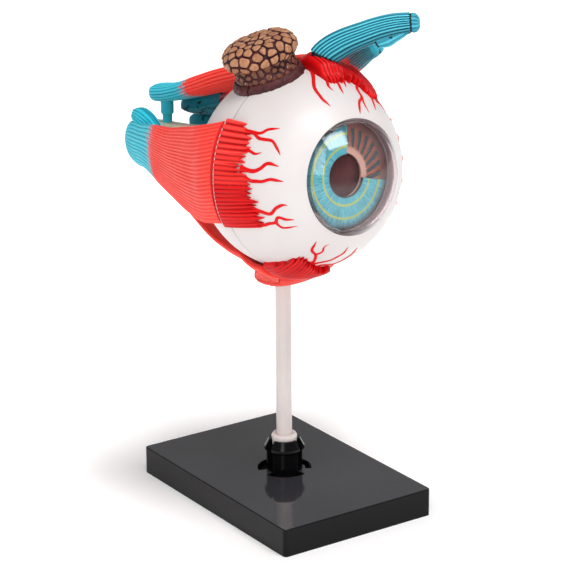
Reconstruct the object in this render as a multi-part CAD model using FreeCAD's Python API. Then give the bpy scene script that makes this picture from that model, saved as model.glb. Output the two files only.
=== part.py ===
import FreeCAD, Part
import math
import os

from FreeCAD import Vector

# Take-apart model of a right human eye on a stand. Millimetres and degrees.
# Row frame: origin at the middle of the plate's underside, +Z up, the eye looks
# towards -Y, the nose side is +X and the temple side is -X.
# Eye frame: origin at the globe's centre. A place in it is written (x, f, u):
# x towards the nose, f forwards along the optical axis, u upwards.

# ---------------------------------------------------------------- driving sizes
# stand
plate_width = 56.8
plate_length = 83.8
plate_height = 9.2
plate_wall = 2.0
plate_corner = 1.3
plate_edge = 0.4
rod_radius = 2.55
rod_fit = 0.05
collar_radius = 4.2
collar_root_radius = 3.75
collar_proud = 12.3
collar_taper = 5.0
collar_shoulder = 0.9
collar_dish = 0.4
claw_outer_radius = 5.9
claw_height = 10.6
claw_floor = 2.0
claw_barb = 0.8
claw_barb_height = 4.2
claw_mouth_gap = 0.35
claw_mouth_wall = 0.55
claw_gap_angle = 30.0
claw_slot_reach = 3.0
prong_count = 3
# eye on the rod
eye_height = 113.2
eye_ahead = 9.05
eye_turn = 3.5
eye_tilt = 6.0
# globe
globe_radius = 32.0
shell_wall = 2.0
seam_forward = 1.7
seam_gap = 0.12
lip_wall = 0.9
lip_length = 1.6
liner_gap = 0.3
choroid_wall = 1.2
retina_wall = 1.0
socket_radius = 4.3
socket_depth = 4.7
# front of the eye
cornea_rim_radius = 18.0
cornea_curve_radius = 22.5
cornea_wall = 1.5
cornea_fit = 0.1
ledge_width = 1.4
ledge_depth = 1.2
iris_radius = 16.0
iris_thickness = 1.0
iris_roll = 5.5
iris_opening = 99.0
iris_setback = 3.3
pupil_radius = 6.5
ciliary_plate = 1.0
ciliary_depth = 5.0
lens_radius = 10.4
lens_front_curve = 18.0
lens_back_curve = 12.0
# nerve
nerve_end_radius = 7.8
nerve_root_radius = 9.2
nerve_plug_radius = 6.0
nerve_length = 50.0
nerve_chamfer = 1.0
vessel_radius = 0.8
vessel_length = 8.0
vessel_recess = 0.4
# muscles
strap_thickness = 2.8
lie_gap = 0.3
peg_radius = 1.8
peg_fit = 0.06
pad_thickness = 2.9
pad_spread = 34.0
superior_pad_thickness = 3.7
superior_pad_spread = 36.0
superior_pad_angle = 22.0
superior_pad_lift = 6.0
oblique_thickness = 5.0
oblique_width = 14.2
oblique_clearance = 1.1
oblique_slant = 5.7
inferior_setback = 0.7
nerve_peg_radius = 1.6
nerve_peg_depth = 2.4
nerve_peg_step = 3.0
trochlea_thickness = 3.4
# lacrimal gland
gland_radius = 11.8
gland_neck_radius = 9.9
gland_height = 12.3
gland_side_lean = 16.1
gland_back_lean = 2.3
gland_seat_radius = 11.4
gland_seat_height = 0.3
gland_fit = 0.2

# ------------------------------------------------------------- derived sizes
plate_top = plate_height
inner_radius = globe_radius - shell_wall
rim_forward = math.sqrt(globe_radius ** 2 - cornea_rim_radius ** 2)
cornea_centre = rim_forward - math.sqrt(cornea_curve_radius ** 2 - cornea_rim_radius ** 2)
iris_front = rim_forward - iris_setback
nerve_root = math.sqrt(globe_radius ** 2 - nerve_root_radius ** 2)
far = 400.0
# the muscles' stations and routes are drawn for a globe of 32 mm radius
drawn = globe_radius / 32.0
wall_peg_f = -8.0 * drawn
belly_post_place = (28.4, -9.0, 27.4)

os.makedirs("parts", exist_ok=True)


# ------------------------------------------------------------------- helpers
def eye(x, f, u):
    """A place in the eye frame as a vector of the solid being built."""
    return Vector(x, -f, u)


def on_drawing(x, f, u):
    """A place given for the drawn globe, at this globe's size."""
    return eye(x, f, u) * drawn


def seat(shape):
    """Moves a solid from the eye frame to its place on the rod."""
    moved = shape.copy()
    moved.rotate(Vector(0, 0, 0), Vector(1, 0, 0), -eye_tilt)
    moved.translate(Vector(0, -eye_ahead, eye_height))
    moved.rotate(Vector(0, 0, 0), Vector(0, 0, 1), eye_turn)
    return moved


def vertical():
    """The rod's direction, seen from the eye frame."""
    tilt = math.radians(eye_tilt)
    return Vector(0, -math.sin(tilt), math.cos(tilt))


def ball(radius):
    return Part.makeSphere(radius)


def half_space(f, forwards=True):
    """Everything ahead of f along the optical axis, or behind it."""
    low = -f - far if forwards else -f
    return Part.makeBox(2 * far, far, 2 * far, Vector(-far, low, -far))


def turned(profile):
    """A solid of revolution about the optical axis from (radius, f) points."""
    points = [Vector(r, -f, 0) for r, f in profile]
    face = Part.Face(Part.makePolygon(points + points[:1]))
    return face.revolve(Vector(0, 0, 0), Vector(0, 1, 0), 360)


def tube(outer, inner, low_f, high_f):
    """A straight tube or, with no inner radius, a disc on the optical axis."""
    base = Vector(0, -high_f, 0)
    solid = Part.makeCylinder(outer, high_f - low_f, base, Vector(0, 1, 0))
    if inner > 0:
        solid = solid.cut(Part.makeCylinder(inner, high_f - low_f, base, Vector(0, 1, 0)))
    return solid


def rod_at(radius, start, direction, length):
    return Part.makeCylinder(radius, length, start, direction)


def upright(radius, low_z, high_z):
    """A cylinder on the rod's axis in the row frame."""
    return Part.makeCylinder(radius, high_z - low_z, Vector(0, 0, low_z))


def section(centre, out, side, half_width, half_out, half_in, bend, squareness=0.6):
    """One closed cross-section of a strap, bent round the globe if bend is set."""
    points = []
    count = 20
    for step in range(count):
        angle = 2 * math.pi * step / count
        cos, sin = math.cos(angle), math.sin(angle)
        across = half_width * math.copysign(abs(cos) ** squareness, cos)
        thick = half_out if sin > 0 else half_in
        rise = thick * math.copysign(abs(sin) ** squareness, sin)
        turn = across / bend
        reach = bend + rise
        points.append(centre + side * (reach * math.sin(turn)) + out * (reach * math.cos(turn) - bend))
    curve = Part.BSplineCurve()
    curve.interpolate(points, True)
    return Part.Wire(curve.toShape())


def largest(shape):
    """The main solid that a cut leaves."""
    return max(shape.Solids, key=lambda solid: solid.Volume)


def axis_frame(position_angle):
    """Outward and sideways directions at an angle from the top towards the nose."""
    angle = math.radians(position_angle)
    out = eye(math.sin(angle), 0, math.cos(angle))
    side = eye(math.cos(angle), 0, -math.sin(angle))
    return out, side


def lie_radius(thickness):
    return globe_radius + lie_gap + thickness / 2


def rectus(stations, thickness):
    """A strap muscle from (f, angle, half width, radius, sideways shift, swell) stations.

    The radius is the strap's middle from the optical axis; "lie" keeps it on the globe.
    """
    wires = []
    for f, angle, half_width, radius, shift, swell in stations:
        on_globe = radius == "lie"
        near_globe = f > -15.0
        f = f * drawn
        if on_globe:
            radius = math.sqrt(lie_radius(thickness) ** 2 - f ** 2)
        else:
            radius = radius * drawn
        out, side = axis_frame(angle)
        centre = out * radius + side * (shift * drawn) + eye(0, f, 0)
        into_globe = shell_wall if near_globe else 0.0
        bend = radius if on_globe else radius * 1.6
        half = thickness / 2 * swell
        wires.append(section(centre, out, side, half_width * drawn, half, half + into_globe, bend))
    strap = Part.makeLoft(wires, True, False)
    return largest(strap.cut(ball(globe_radius + lie_gap)))


def front_f():
    """Front edge of the muscles, just behind the seam, on the drawing."""
    return (seam_forward - 2 * seam_gap) / drawn


def cap_ball(direction, thickness, spread):
    """A smaller ball, moved outwards until it surfaces as a shallow cap of that spread."""
    angle = math.radians(spread)
    top = globe_radius + thickness
    shift = (top ** 2 - globe_radius ** 2) / (2 * (top - globe_radius * math.cos(angle)))
    patch = ball(top - shift)
    patch.translate(direction * shift)
    return patch


def save(name, shape):
    solid = shape if shape.ShapeType == "Solid" else Part.makeCompound(shape.Solids)
    solid.exportStep("parts/" + name + ".step")
    print(name, "solids", len(shape.Solids), "volume", round(shape.Volume, 1), shape.isValid())


# --------------------------------------------------------------------- stand
def prong_sector(middle_angle, outer, low_z, high_z, spread):
    """A pie-shaped block that keeps one prong's share of a ring."""
    points = [Vector(0, 0, low_z)]
    for share in (-0.5, -0.25, 0.0, 0.25, 0.5):
        angle = math.radians(middle_angle + share * spread)
        points.append(Vector(outer * math.cos(angle), outer * math.sin(angle), low_z))
    face = Part.Face(Part.makePolygon(points + points[:1]))
    return face.extrude(Vector(0, 0, high_z - low_z))


def prong_angles():
    return [360.0 * index / prong_count for index in range(prong_count)]


def prong_spread():
    return 360.0 / prong_count - claw_gap_angle


def base_plate():
    """Hollow moulded plate with a boss for the claw and ribs to its walls."""
    block = Part.makeBox(plate_width, plate_length, plate_height,
                         Vector(-plate_width / 2, -plate_length / 2, 0))
    uprights = [edge for edge in block.Edges if abs(edge.BoundBox.ZLength - plate_height) < 1e-6]
    block = block.makeFillet(plate_corner, uprights)
    rim = [edge for edge in block.Edges if edge.BoundBox.ZMin > plate_height - 1e-6]
    block = block.makeFillet(plate_edge, rim)
    hollow_width = plate_width - 2 * plate_wall
    hollow_length = plate_length - 2 * plate_wall
    hollow = Part.makeBox(hollow_width, hollow_length, plate_height - plate_wall,
                          Vector(-hollow_width / 2, -hollow_length / 2, 0))
    boss_radius = claw_outer_radius + rod_fit + plate_wall
    ribs = [
        Part.makeBox(hollow_width, plate_wall, plate_height - plate_wall,
                     Vector(-hollow_width / 2, -plate_wall / 2, 0)),
        Part.makeBox(plate_wall, hollow_length, plate_height - plate_wall,
                     Vector(-plate_wall / 2, -hollow_length / 2, 0)),
        upright(boss_radius, 0, plate_height - plate_wall),
    ]
    for rib in ribs:
        hollow = hollow.cut(rib)
    plate = block.cut(hollow)
    plate = plate.cut(upright(claw_outer_radius + rod_fit, -1, plate_height + 1))
    slot_radius = claw_outer_radius + claw_slot_reach
    for angle in prong_angles():
        slot = upright(slot_radius, plate_height - plate_wall - 1, plate_height + 1)
        wedge = prong_sector(angle, 2 * slot_radius, plate_height - plate_wall - 1,
                             plate_height + 1, prong_spread())
        plate = plate.cut(slot.common(wedge))
    return plate


def claw_socket():
    """Hub with three barbed prongs that grip the rod's collar."""
    bore = collar_root_radius + rod_fit
    hub = upright(claw_outer_radius, 0, plate_top)
    claw = hub.cut(upright(bore, claw_floor, plate_top + 1))
    top = plate_top + claw_height
    barb_low = top - claw_barb_height
    profile = [
        Vector(bore, 0, plate_top),
        Vector(claw_outer_radius, 0, plate_top),
        Vector(claw_outer_radius, 0, barb_low),
        Vector(claw_outer_radius + claw_barb, 0, barb_low + claw_barb),
        Vector(claw_outer_radius + claw_barb * 0.8, 0, barb_low + 2 * claw_barb),
        Vector(collar_radius + claw_mouth_gap + claw_mouth_wall, 0, top),
        Vector(collar_radius + claw_mouth_gap, 0, top),
        Vector(bore, 0, plate_top + collar_proud - collar_taper),
    ]
    face = Part.Face(Part.makePolygon(profile + profile[:1]))
    ring = face.revolve(Vector(0, 0, 0), Vector(0, 0, 1), 360)
    for angle in prong_angles():
        wedge = prong_sector(angle, 3 * claw_outer_radius, plate_top, top, prong_spread())
        claw = claw.fuse(ring.common(wedge))
    return claw.removeSplitter()


def rod_collar():
    """Round-shouldered foot of the rod, seated in the claw."""
    top = plate_top + collar_proud
    shoulder = collar_shoulder
    low = claw_floor + rod_fit
    profile = [
        Vector(rod_radius + rod_fit, 0, low),
        Vector(collar_root_radius, 0, low),
        Vector(collar_root_radius, 0, top - collar_taper),
        Vector(collar_radius, 0, top - shoulder * 2),
        Vector(collar_radius, 0, top - shoulder),
        Vector(collar_radius - shoulder * 0.35, 0, top - shoulder * 0.25),
        Vector(collar_radius - shoulder, 0, top),
        Vector(rod_radius + rod_fit, 0, top - collar_dish),
    ]
    face = Part.Face(Part.makePolygon(profile + profile[:1]))
    return face.revolve(Vector(0, 0, 0), Vector(0, 0, 1), 360)


def socket_floor():
    """Height where the rod's top stops in the globe's socket."""
    depth = math.sqrt(globe_radius ** 2 - eye_ahead ** 2)
    return eye_height - depth + shell_wall * 0.4


def support_rod():
    """Straight rod from the collar to the socket under the globe."""
    return upright(rod_radius, claw_floor + rod_fit, socket_floor() - rod_fit)


save("base_plate", base_plate())
save("claw_socket", claw_socket())
save("rod_collar", rod_collar())
save("support_rod", support_rod())


# ---------------------------------------------------------------- eyeball
def nerve_solid():
    """Optic nerve, flared where it meets the globe, with a plug into the shell."""
    end = -nerve_root - nerve_length
    profile = [
        (0, end),
        (nerve_end_radius - nerve_chamfer, end),
        (nerve_end_radius, end + nerve_chamfer),
        (nerve_end_radius, end + 0.4 * nerve_length),
        ((nerve_end_radius + nerve_root_radius) / 2, end + 0.75 * nerve_length),
        (nerve_root_radius, -nerve_root - nerve_chamfer),
        (nerve_root_radius, -nerve_root + shell_wall),
        (0, -nerve_root + shell_wall),
    ]
    nerve = turned(profile).cut(ball(globe_radius))
    plug = tube(nerve_plug_radius, 0, -globe_radius - nerve_chamfer, -inner_radius + shell_wall)
    return nerve.fuse(plug.cut(ball(inner_radius))).removeSplitter()


def nerve_vessels():
    """Central artery and vein, seen at the nerve's cut end."""
    end = -nerve_root - nerve_length
    vessels = []
    for side in (-1, 1):
        start = eye(side * 1.6 * vessel_radius, end - vessel_recess, 0)
        vessels.append(rod_at(vessel_radius, start, eye(0, 1, 0), vessel_length))
    return vessels


def rear_shell():
    """Rear half of the white shell, with a lip, the rod's socket and the pegs' holes."""
    shell = ball(globe_radius).cut(ball(inner_radius)).cut(half_space(seam_forward - seam_gap / 2))
    lip = tube(inner_radius + lip_wall, inner_radius, seam_forward - lip_length, seam_forward + lip_length)
    shell = shell.fuse(lip)
    return shell.cut(tube(nerve_plug_radius, 0, -globe_radius, -inner_radius + 2 * shell_wall))


def front_shell():
    """Front half of the white shell, with the cornea's seat and a rebate for the lip."""
    shell = ball(globe_radius).cut(ball(inner_radius))
    shell = shell.cut(half_space(seam_forward + seam_gap / 2, False))
    rebate = tube(inner_radius + lip_wall + cornea_fit, 0, 0,
                  seam_forward + lip_length + cornea_fit)
    shell = shell.cut(rebate)
    seat_f = math.sqrt(inner_radius ** 2 - cornea_rim_radius ** 2)
    ledge = tube(cornea_rim_radius + shell_wall / 2, 0, seat_f - ledge_depth, seat_f)
    shell = shell.fuse(ledge.common(ball(inner_radius + shell_wall / 2)))
    shell = shell.cut(tube(cornea_rim_radius, 0, seat_f, globe_radius))
    return shell.cut(tube(cornea_rim_radius - ledge_width, 0, 0, globe_radius)).removeSplitter()


def socket_boss():
    """Post under the rear shell that the rod plugs into, in the row frame."""
    depth = math.sqrt(globe_radius ** 2 - eye_ahead ** 2)
    high = eye_height - depth + shell_wall * 0.75
    return upright(socket_radius, socket_floor() - socket_depth, high)


def choroid_cup():
    outer = inner_radius - liner_gap
    cup = ball(outer).cut(ball(outer - choroid_wall))
    return cup.cut(half_space(seam_forward))


def retina_cup():
    outer = inner_radius - 2 * liner_gap - choroid_wall
    cup = ball(outer).cut(ball(outer - retina_wall))
    return cup.cut(half_space(seam_forward))


def vitreous_radius():
    return inner_radius - 3 * liner_gap - choroid_wall - retina_wall


def lens_equator():
    """Place of the lens's widest circle along the optical axis."""
    return iris_front - iris_thickness - lens_sag(lens_front_curve) - liner_gap


def lens_sag(curve_radius):
    return curve_radius - math.sqrt(curve_radius ** 2 - lens_radius ** 2)


def lens_at(equator, front_curve, back_curve, grow=0.0):
    """Biconvex lens as the common space of two balls."""
    front = Part.makeSphere(front_curve + grow, eye(0, equator + lens_sag(front_curve) - front_curve, 0))
    back = Part.makeSphere(back_curve + grow, eye(0, equator - lens_sag(back_curve) + back_curve, 0))
    return front.common(back)


def crystalline_lens():
    return lens_at(lens_equator(), lens_front_curve, lens_back_curve)


def ciliary_back():
    return iris_front - iris_thickness - liner_gap - ciliary_plate


def vitreous_body():
    """Clear ball with a dish for the lens at its front."""
    front = ciliary_back() + ciliary_plate - ciliary_depth - liner_gap
    body = ball(vitreous_radius()).cut(half_space(front))
    return body.cut(lens_at(lens_equator(), lens_front_curve, lens_back_curve, liner_gap))


def ciliary_body():
    """Striped ring behind the iris, with a skirt against the front shell's inside."""
    front = ciliary_back() + ciliary_plate
    outer = inner_radius - liner_gap
    ring = ball(outer).cut(half_space(front)).cut(half_space(front - ciliary_depth, False))
    hollow = tube(iris_radius * 1.15, 0, 0, ciliary_back())
    ring = ring.cut(hollow)
    return ring.cut(tube(pupil_radius + liner_gap, 0, 0, globe_radius))


def iris_solid():
    """Ring with a sector cut away at the top on the nose side."""
    ring = tube(iris_radius, pupil_radius, iris_front - iris_thickness, iris_front)
    behind = iris_front - 2 * iris_thickness
    corners = [eye(0, behind, 0)]
    for turn in (iris_roll, iris_roll + iris_opening / 2, iris_roll + iris_opening):
        angle = math.radians(turn)
        reach = 2 * iris_radius
        corners.append(eye(reach * math.sin(angle), behind, reach * math.cos(angle)))
    sector = Part.Face(Part.makePolygon(corners + corners[:1]))
    return ring.cut(sector.extrude(eye(0, 4 * iris_thickness, 0)))


def cornea_solid():
    """Clear dome with a skirt that plugs into the front shell."""
    centre = eye(0, cornea_centre, 0)
    seat_f = math.sqrt(inner_radius ** 2 - cornea_rim_radius ** 2)
    skirt = tube(cornea_rim_radius - cornea_fit, cornea_rim_radius - cornea_fit - cornea_wall,
                 seat_f + cornea_fit, rim_forward + cornea_wall / 2)
    dome = Part.makeSphere(cornea_curve_radius, centre)
    dome = dome.cut(Part.makeSphere(cornea_curve_radius - cornea_wall, centre))
    dome = dome.cut(half_space(rim_forward, False))
    dome = dome.common(tube(cornea_rim_radius - cornea_fit, 0, 0, 2 * globe_radius))
    skirt = skirt.common(Part.makeSphere(cornea_curve_radius, centre).fuse(
        tube(cornea_rim_radius - cornea_fit, 0, 0, rim_forward)))
    return dome.fuse(skirt).removeSplitter()


# ---------------------------------------------------------------- muscles
def lateral_rectus():
    """Fan muscle on the temple side, with a two-lobed rear end."""
    stations = [
        (front_f(), -82.6, 16.1, "lie", 0, 1.0),
        (-6.0, -85.0, 15.8, "lie", 0, 1.0),
        (-14.0, -86.8, 15.1, 30.6, 0, 1.0),
        (-26.0, -88.0, 13.8, 26.9, 0, 1.0),
        (-40.0, -88.5, 11.5, 22.5, 0.3, 1.0),
        (-52.0, -88.0, 9.7, 18.9, 1.1, 1.05),
        (-61.0, -88.0, 8.0, 16.2, 2.0, 1.1),
        (-66.0, -88.0, 7.2, 14.7, 2.2, 1.2),
        (-72.0, -88.0, 7.2, 13.0, 2.2, 1.2),
        (-77.0, -88.0, 5.8, 12.0, 2.6, 1.0),
        (-79.6, -88.0, 3.0, 12.0, 2.8, 0.5),
    ]
    strap = rectus(stations, strap_thickness)
    out, side = axis_frame(-88.0)
    wires = []
    for f, height, half in ((-61.0, 6.6, 2.6), (-66.0, 9.4, 3.2), (-71.0, 11.2, 3.0), (-75.0, 12.0, 1.5)):
        centre = (out * 11.2 + side * height) * drawn + on_drawing(0, f, 0)
        half = half * drawn
        wires.append(section(centre, out, side, half, half * 0.55, half * 0.55, far, 0.9))
    return strap.fuse(Part.makeLoft(wires, True, False))


def medial_rectus():
    """Fan muscle on the nose side."""
    stations = [
        (front_f(), 96.0, 15.0, "lie", 0, 1.0),
        (-6.0, 95.0, 14.9, "lie", 0, 1.0),
        (-14.0, 94.0, 14.0, 30.7, 0, 1.0),
        (-26.0, 93.0, 12.4, 27.0, 0, 1.0),
        (-40.0, 92.0, 10.0, 22.8, -0.5, 1.0),
        (-52.0, 90.0, 7.6, 19.3, -0.8, 1.1),
        (-62.0, 90.0, 6.0, 16.4, -2.4, 1.3),
        (-71.0, 90.0, 5.6, 13.4, -2.9, 1.5),
        (-76.0, 90.0, 4.6, 12.6, -3.0, 1.0),
    ]
    return rectus(stations, strap_thickness)


def superior_rectus():
    """Strap over the top; its peg is added where it meets the nerve."""
    stations = [
        (front_f(), 21.8, 8.4, "lie", 0, 1.1),
        (-6.0, 21.8, 8.4, "lie", 0, 1.1),
        (-14.0, 20.5, 8.4, 31.0, 0, 1.1),
        (-26.0, 17.5, 8.0, 28.2, 0, 1.6),
        (-40.0, 13.6, 7.2, 25.2, 0, 1.8),
        (-52.0, 9.5, 6.4, 21.8, 0, 1.8),
        (-62.0, 6.5, 5.6, 19.2, 0, 1.7),
        (-69.0, 4.5, 5.4, 18.0, 0, 1.9),
        (-75.0, 3.0, 4.8, 17.6, 0, 1.8),
        (-78.0, 3.0, 2.6, 17.4, 0, 0.9),
    ]
    return rectus(stations, strap_thickness)


def inferior_rectus():
    """Strap underneath, pierced by the globe's socket."""
    stations = [
        (front_f() - inferior_setback / drawn, 195.0, 10.6, "lie", 0, 1.0),
        (-6.0, 193.5, 10.6, "lie", 0, 1.05),
        (-13.0, 192.0, 10.2, "lie", 0, 1.1),
        (-25.0, 190.0, 9.0, 28.6, 0, 1.1),
        (-37.0, 188.5, 7.8, 25.4, 0, 1.1),
        (-45.0, 187.0, 7.0, 22.2, 0, 1.1),
        (-52.0, 186.0, 6.2, 19.2, 0, 1.1),
        (-60.0, 184.0, 5.6, 15.4, 0, 1.1),
        (-68.0, 182.0, 5.2, 12.6, 0, 1.1),
        (-72.0, 182.0, 3.4, 12.0, 0, 0.7),
    ]
    return rectus(stations, strap_thickness)


def nerve_peg(grow=0.0):
    """Stepped peg under the superior rectus that plugs down into the nerve."""
    top = on_drawing(0.0, -70.2, 18.0)
    down = vertical() * -1
    to_nerve = top.z - nerve_end_radius
    upper = rod_at(nerve_peg_radius * 1.35 + grow, top, down, to_nerve - nerve_peg_step)
    lower = rod_at(nerve_peg_radius + grow, top, down, to_nerve + nerve_peg_depth + grow)
    return upper.fuse(lower)


def route_loft(route, squareness=0.6):
    """Loft of drawn (place, direction, out, half width, half thickness) stations."""
    wires = []
    for place, direction, outward, half_width, half in route:
        along = eye(*direction).normalize()
        side = eye(*outward).cross(along).normalize()
        out = along.cross(side).normalize()
        half = half * drawn
        wires.append(section(on_drawing(*place), out, side, half_width * drawn, half, half, far, squareness))
    return Part.makeLoft(wires, True, False)


def belly_peg(grow=0.0):
    """Post from the superior oblique straight down into the rear shell's wall."""
    place = on_drawing(*belly_post_place)
    start = inner_radius + lie_gap
    direction = eye(*belly_post_place).normalize()
    return rod_at(peg_radius + grow, direction * start, direction, place.Length - start)


def oblique_belly():
    """Superior oblique: from the pulley back along the nose side to the rear."""
    high = (0.77, 0, 0.64)
    low = (0.34, 0, 0.94)
    route = [
        ((21.4, 15.5, 36.3), (0, 1, 0), high, 2.9, 2.3),
        ((22.8, 9.0, 34.2), (-0.4, 1, 0.35), high, 3.0, 2.4),
        ((25.6, 2.0, 31.4), (-0.35, 1, 0.4), high, 3.2, 2.5),
        (belly_post_place, (-0.2, 1, 0.4), high, 4.0, 2.5),
        ((27.4, -20.0, 24.0), (0.25, 1, 0.35), high, 4.6, 2.5),
        ((22.6, -32.0, 20.4), (0.4, 1, 0.3), high, 4.8, 2.4),
        ((16.8, -44.0, 17.0), (0.45, 1, 0.3), low, 4.8, 2.2),
        ((12.0, -56.0, 13.9), (0.3, 1, 0.25), low, 5.0, 1.9),
        ((9.8, -65.0, 12.2), (0.15, 1, 0.12), low, 4.8, 2.1),
        ((9.2, -71.0, 11.8), (0, 1, 0), low, 4.2, 1.8),
    ]
    return route_loft(route)


tendon_face = (-0.707, 0.707, 0)


def oblique_tendon():
    """Reflected tendon of the superior oblique, from its root on the globe up to the pulley."""
    root = [
        ((4.8, 8.8, 32.4), (0.3, 0.3, 0.9), tendon_face, 4.1, 1.9),
        ((5.9, 9.9, 35.6), (0.4, 0.4, 0.83), tendon_face, 4.1, 1.9),
    ]
    route = [
        ((5.6, 9.6, 35.0), (0.4, 0.4, 0.83), tendon_face, 4.6, 2.45),
        ((6.0, 10.0, 35.9), (0.42, 0.42, 0.8), tendon_face, 4.5, 2.5),
        ((7.8, 11.8, 37.6), (0.55, 0.55, 0.62), tendon_face, 4.4, 2.5),
        ((10.3, 14.3, 39.3), (0.63, 0.63, 0.45), tendon_face, 4.1, 2.5),
        ((13.8, 17.8, 41.0), (0.67, 0.67, 0.3), tendon_face, 3.8, 2.4),
        ((17.6, 21.6, 42.6), (0.68, 0.68, 0.25), tendon_face, 3.6, 2.3),
        ((21.4, 25.4, 43.6), (0.69, 0.69, 0.15), tendon_face, 3.4, 2.2),
        ((24.2, 28.2, 43.9), (0.7, 0.7, 0.0), tendon_face, 3.2, 2.1),
    ]
    return route_loft(route).fuse(route_loft(root))


def trochlea():
    """Pulley: a rounded cap on the tendon's end and the block under it."""
    cap = route_loft([
        ((24.4, 28.4, 43.9), (0.7, 0.7, 0.0), tendon_face, 3.2, 2.1),
        ((25.5, 29.5, 43.8), (0.7, 0.7, 0.0), tendon_face, 2.9, 2.0),
        ((26.5, 30.5, 43.6), (0.7, 0.7, 0.0), tendon_face, 1.6, 1.0),
    ])
    outline = [(15.8, 39.2), (18.2, 36.2), (21.2, 38.6), (24.6, 41.0), (24.6, 43.0), (19.0, 41.4)]
    points = [on_drawing(x, x + 4.0, u) for x, u in outline]
    block = Part.Face(Part.makePolygon(points + points[:1]))
    thick = eye(*tendon_face).normalize() * trochlea_thickness
    block = block.extrude(thick)
    block.translate(thick * -0.5)
    return cap, block


def inferior_oblique():
    """Strap under the globe, cut square at the temple side."""
    half = oblique_thickness / 2
    lie = globe_radius + lie_gap + strap_thickness * 1.1 + oblique_clearance + half
    middle = -13.2 * drawn
    wires = []
    for angle, width_share, thick_share in ((-8.5, 1.0, 1.0), (4.0, 1.0, 1.0), (16.0, 0.94, 0.96),
                                            (27.0, 0.74, 0.84), (34.0, 0.45, 0.6)):
        out, side = axis_frame(180.0 - angle)
        slant = math.radians(angle) * oblique_slant
        centre = out * math.sqrt(lie ** 2 - middle ** 2) + eye(0, middle + slant, 0)
        wires.append(section(centre, out, eye(0, 1, 0), oblique_width / 2 * width_share,
                             half * thick_share, half * thick_share, 3 * lie, 0.7))
    return Part.makeLoft(wires, True, False)


# ---------------------------------------------------------- tendon pads
def side_prism(outline, low_x, high_x):
    """Prism along X from drawn (f, u) points."""
    points = [eye(low_x, f * drawn, u * drawn) for f, u in outline]
    return Part.Face(Part.makePolygon(points + points[:1])).extrude(Vector(high_x - low_x, 0, 0))


def plan_prism(outline, low_u, high_u):
    """Prism along the eye's up direction from drawn (x, f) points."""
    points = [eye(x * drawn, f * drawn, low_u) for x, f in outline]
    return Part.Face(Part.makePolygon(points + points[:1])).extrude(Vector(0, 0, high_u - low_u))


def pad_direction(position_angle, lift):
    """Direction from the globe's centre at an angle from the top, lifted forwards."""
    out, side = axis_frame(position_angle)
    turn = math.radians(lift)
    return (out * math.cos(turn) + eye(0, 1, 0) * math.sin(turn)).normalize()


def tendon_pad(direction, thickness, spread, prism):
    """A raised patch on the front shell, thickest in the middle, within a prism's outline."""
    patch = cap_ball(direction, thickness, spread).cut(ball(globe_radius))
    patch = patch.cut(half_space(seam_forward + seam_gap / 2, False))
    return patch.common(prism)


def tendon_pads():
    """Flat tendons of the four recti on the front shell, with their jagged front edges."""
    lateral = [(0, 19.6), (8.0, 18.7), (11.0, 16.0), (11.6, 8.0), (13.4, 3.0),
               (14.4, -4.0), (15.0, -8.0), (15.0, -12.4), (0, -12.4)]
    medial = [(0, 13.5), (9.0, 14.0), (13.0, 8.0), (12.0, 0.0), (14.0, -8.0), (13.0, -16.0), (0, -16.5)]
    superior = [(1.2, 0), (-1.2, 8.5), (-0.8, 12.5), (1.0, 16.2), (8.7, 14.6), (12.5, 15.6),
                (15.5, 18.8), (17.5, 19.0), (21.0, 13.0), (23.5, 0)]
    inferior = [(-18.4, 0), (-17.6, 8.0), (-14.6, 18.0), (-10.5, 15.6), (-4.4, 12.6), (-1.0, 14.5), (1.0, 0)]
    reach = 1.25 * globe_radius
    top = tendon_pad(pad_direction(superior_pad_angle, superior_pad_lift), superior_pad_thickness,
                     superior_pad_spread, plan_prism(superior, 0, reach))
    return {
        "lateral_tendon": tendon_pad(pad_direction(-84.0, 2.0), pad_thickness, pad_spread,
                                     side_prism(lateral, -reach, 0)),
        "medial_tendon": tendon_pad(pad_direction(95.0, 2.0), pad_thickness, pad_spread,
                                    side_prism(medial, 0, reach)),
        "superior_tendon": top.cut(gland_place(upright(gland_seat_radius, 0, 2 * reach))),
        "inferior_tendon": tendon_pad(pad_direction(194.0, 6.0), pad_thickness,
                                      pad_spread, plan_prism(inferior, -reach, 0)),
    }


# ---------------------------------------------------------- lacrimal gland
def gland_place(solid):
    """Stands a solid, made upright on the globe's centre, at the gland's lean."""
    solid = solid.copy()
    solid.rotate(Vector(0, 0, 0), Vector(1, 0, 0), -gland_back_lean)
    solid.rotate(Vector(0, 0, 0), Vector(0, 1, 0), -gland_side_lean)
    return solid


def gland_turned(profile):
    points = [Vector(r, 0, globe_radius + h) for r, h in profile]
    face = Part.Face(Part.makePolygon(points + points[:1]))
    return face.revolve(Vector(0, 0, 0), Vector(0, 0, 1), 360)


def lacrimal_gland():
    """Flat-topped cap on a neck; its foot follows the shell that it rides on."""
    waist = gland_height * 0.34
    shoulder = gland_height * 0.68
    profile = [
        (0, -gland_height / 2),
        (gland_neck_radius, -gland_height / 2),
        (gland_neck_radius, waist),
        (gland_radius * 0.93, gland_height * 0.44),
        (gland_radius, gland_height * 0.54),
        (gland_radius, shoulder),
        (gland_radius * 0.95, gland_height * 0.80),
        (gland_radius * 0.80, gland_height * 0.915),
        (gland_radius * 0.55, gland_height * 0.97),
        (0, gland_height),
    ]
    gland = gland_place(gland_turned(profile)).cut(ball(globe_radius + lie_gap))
    behind = tube(globe_radius + lie_gap, 0, -2 * globe_radius, seam_forward + lie_gap)
    return largest(gland.cut(behind))


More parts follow.
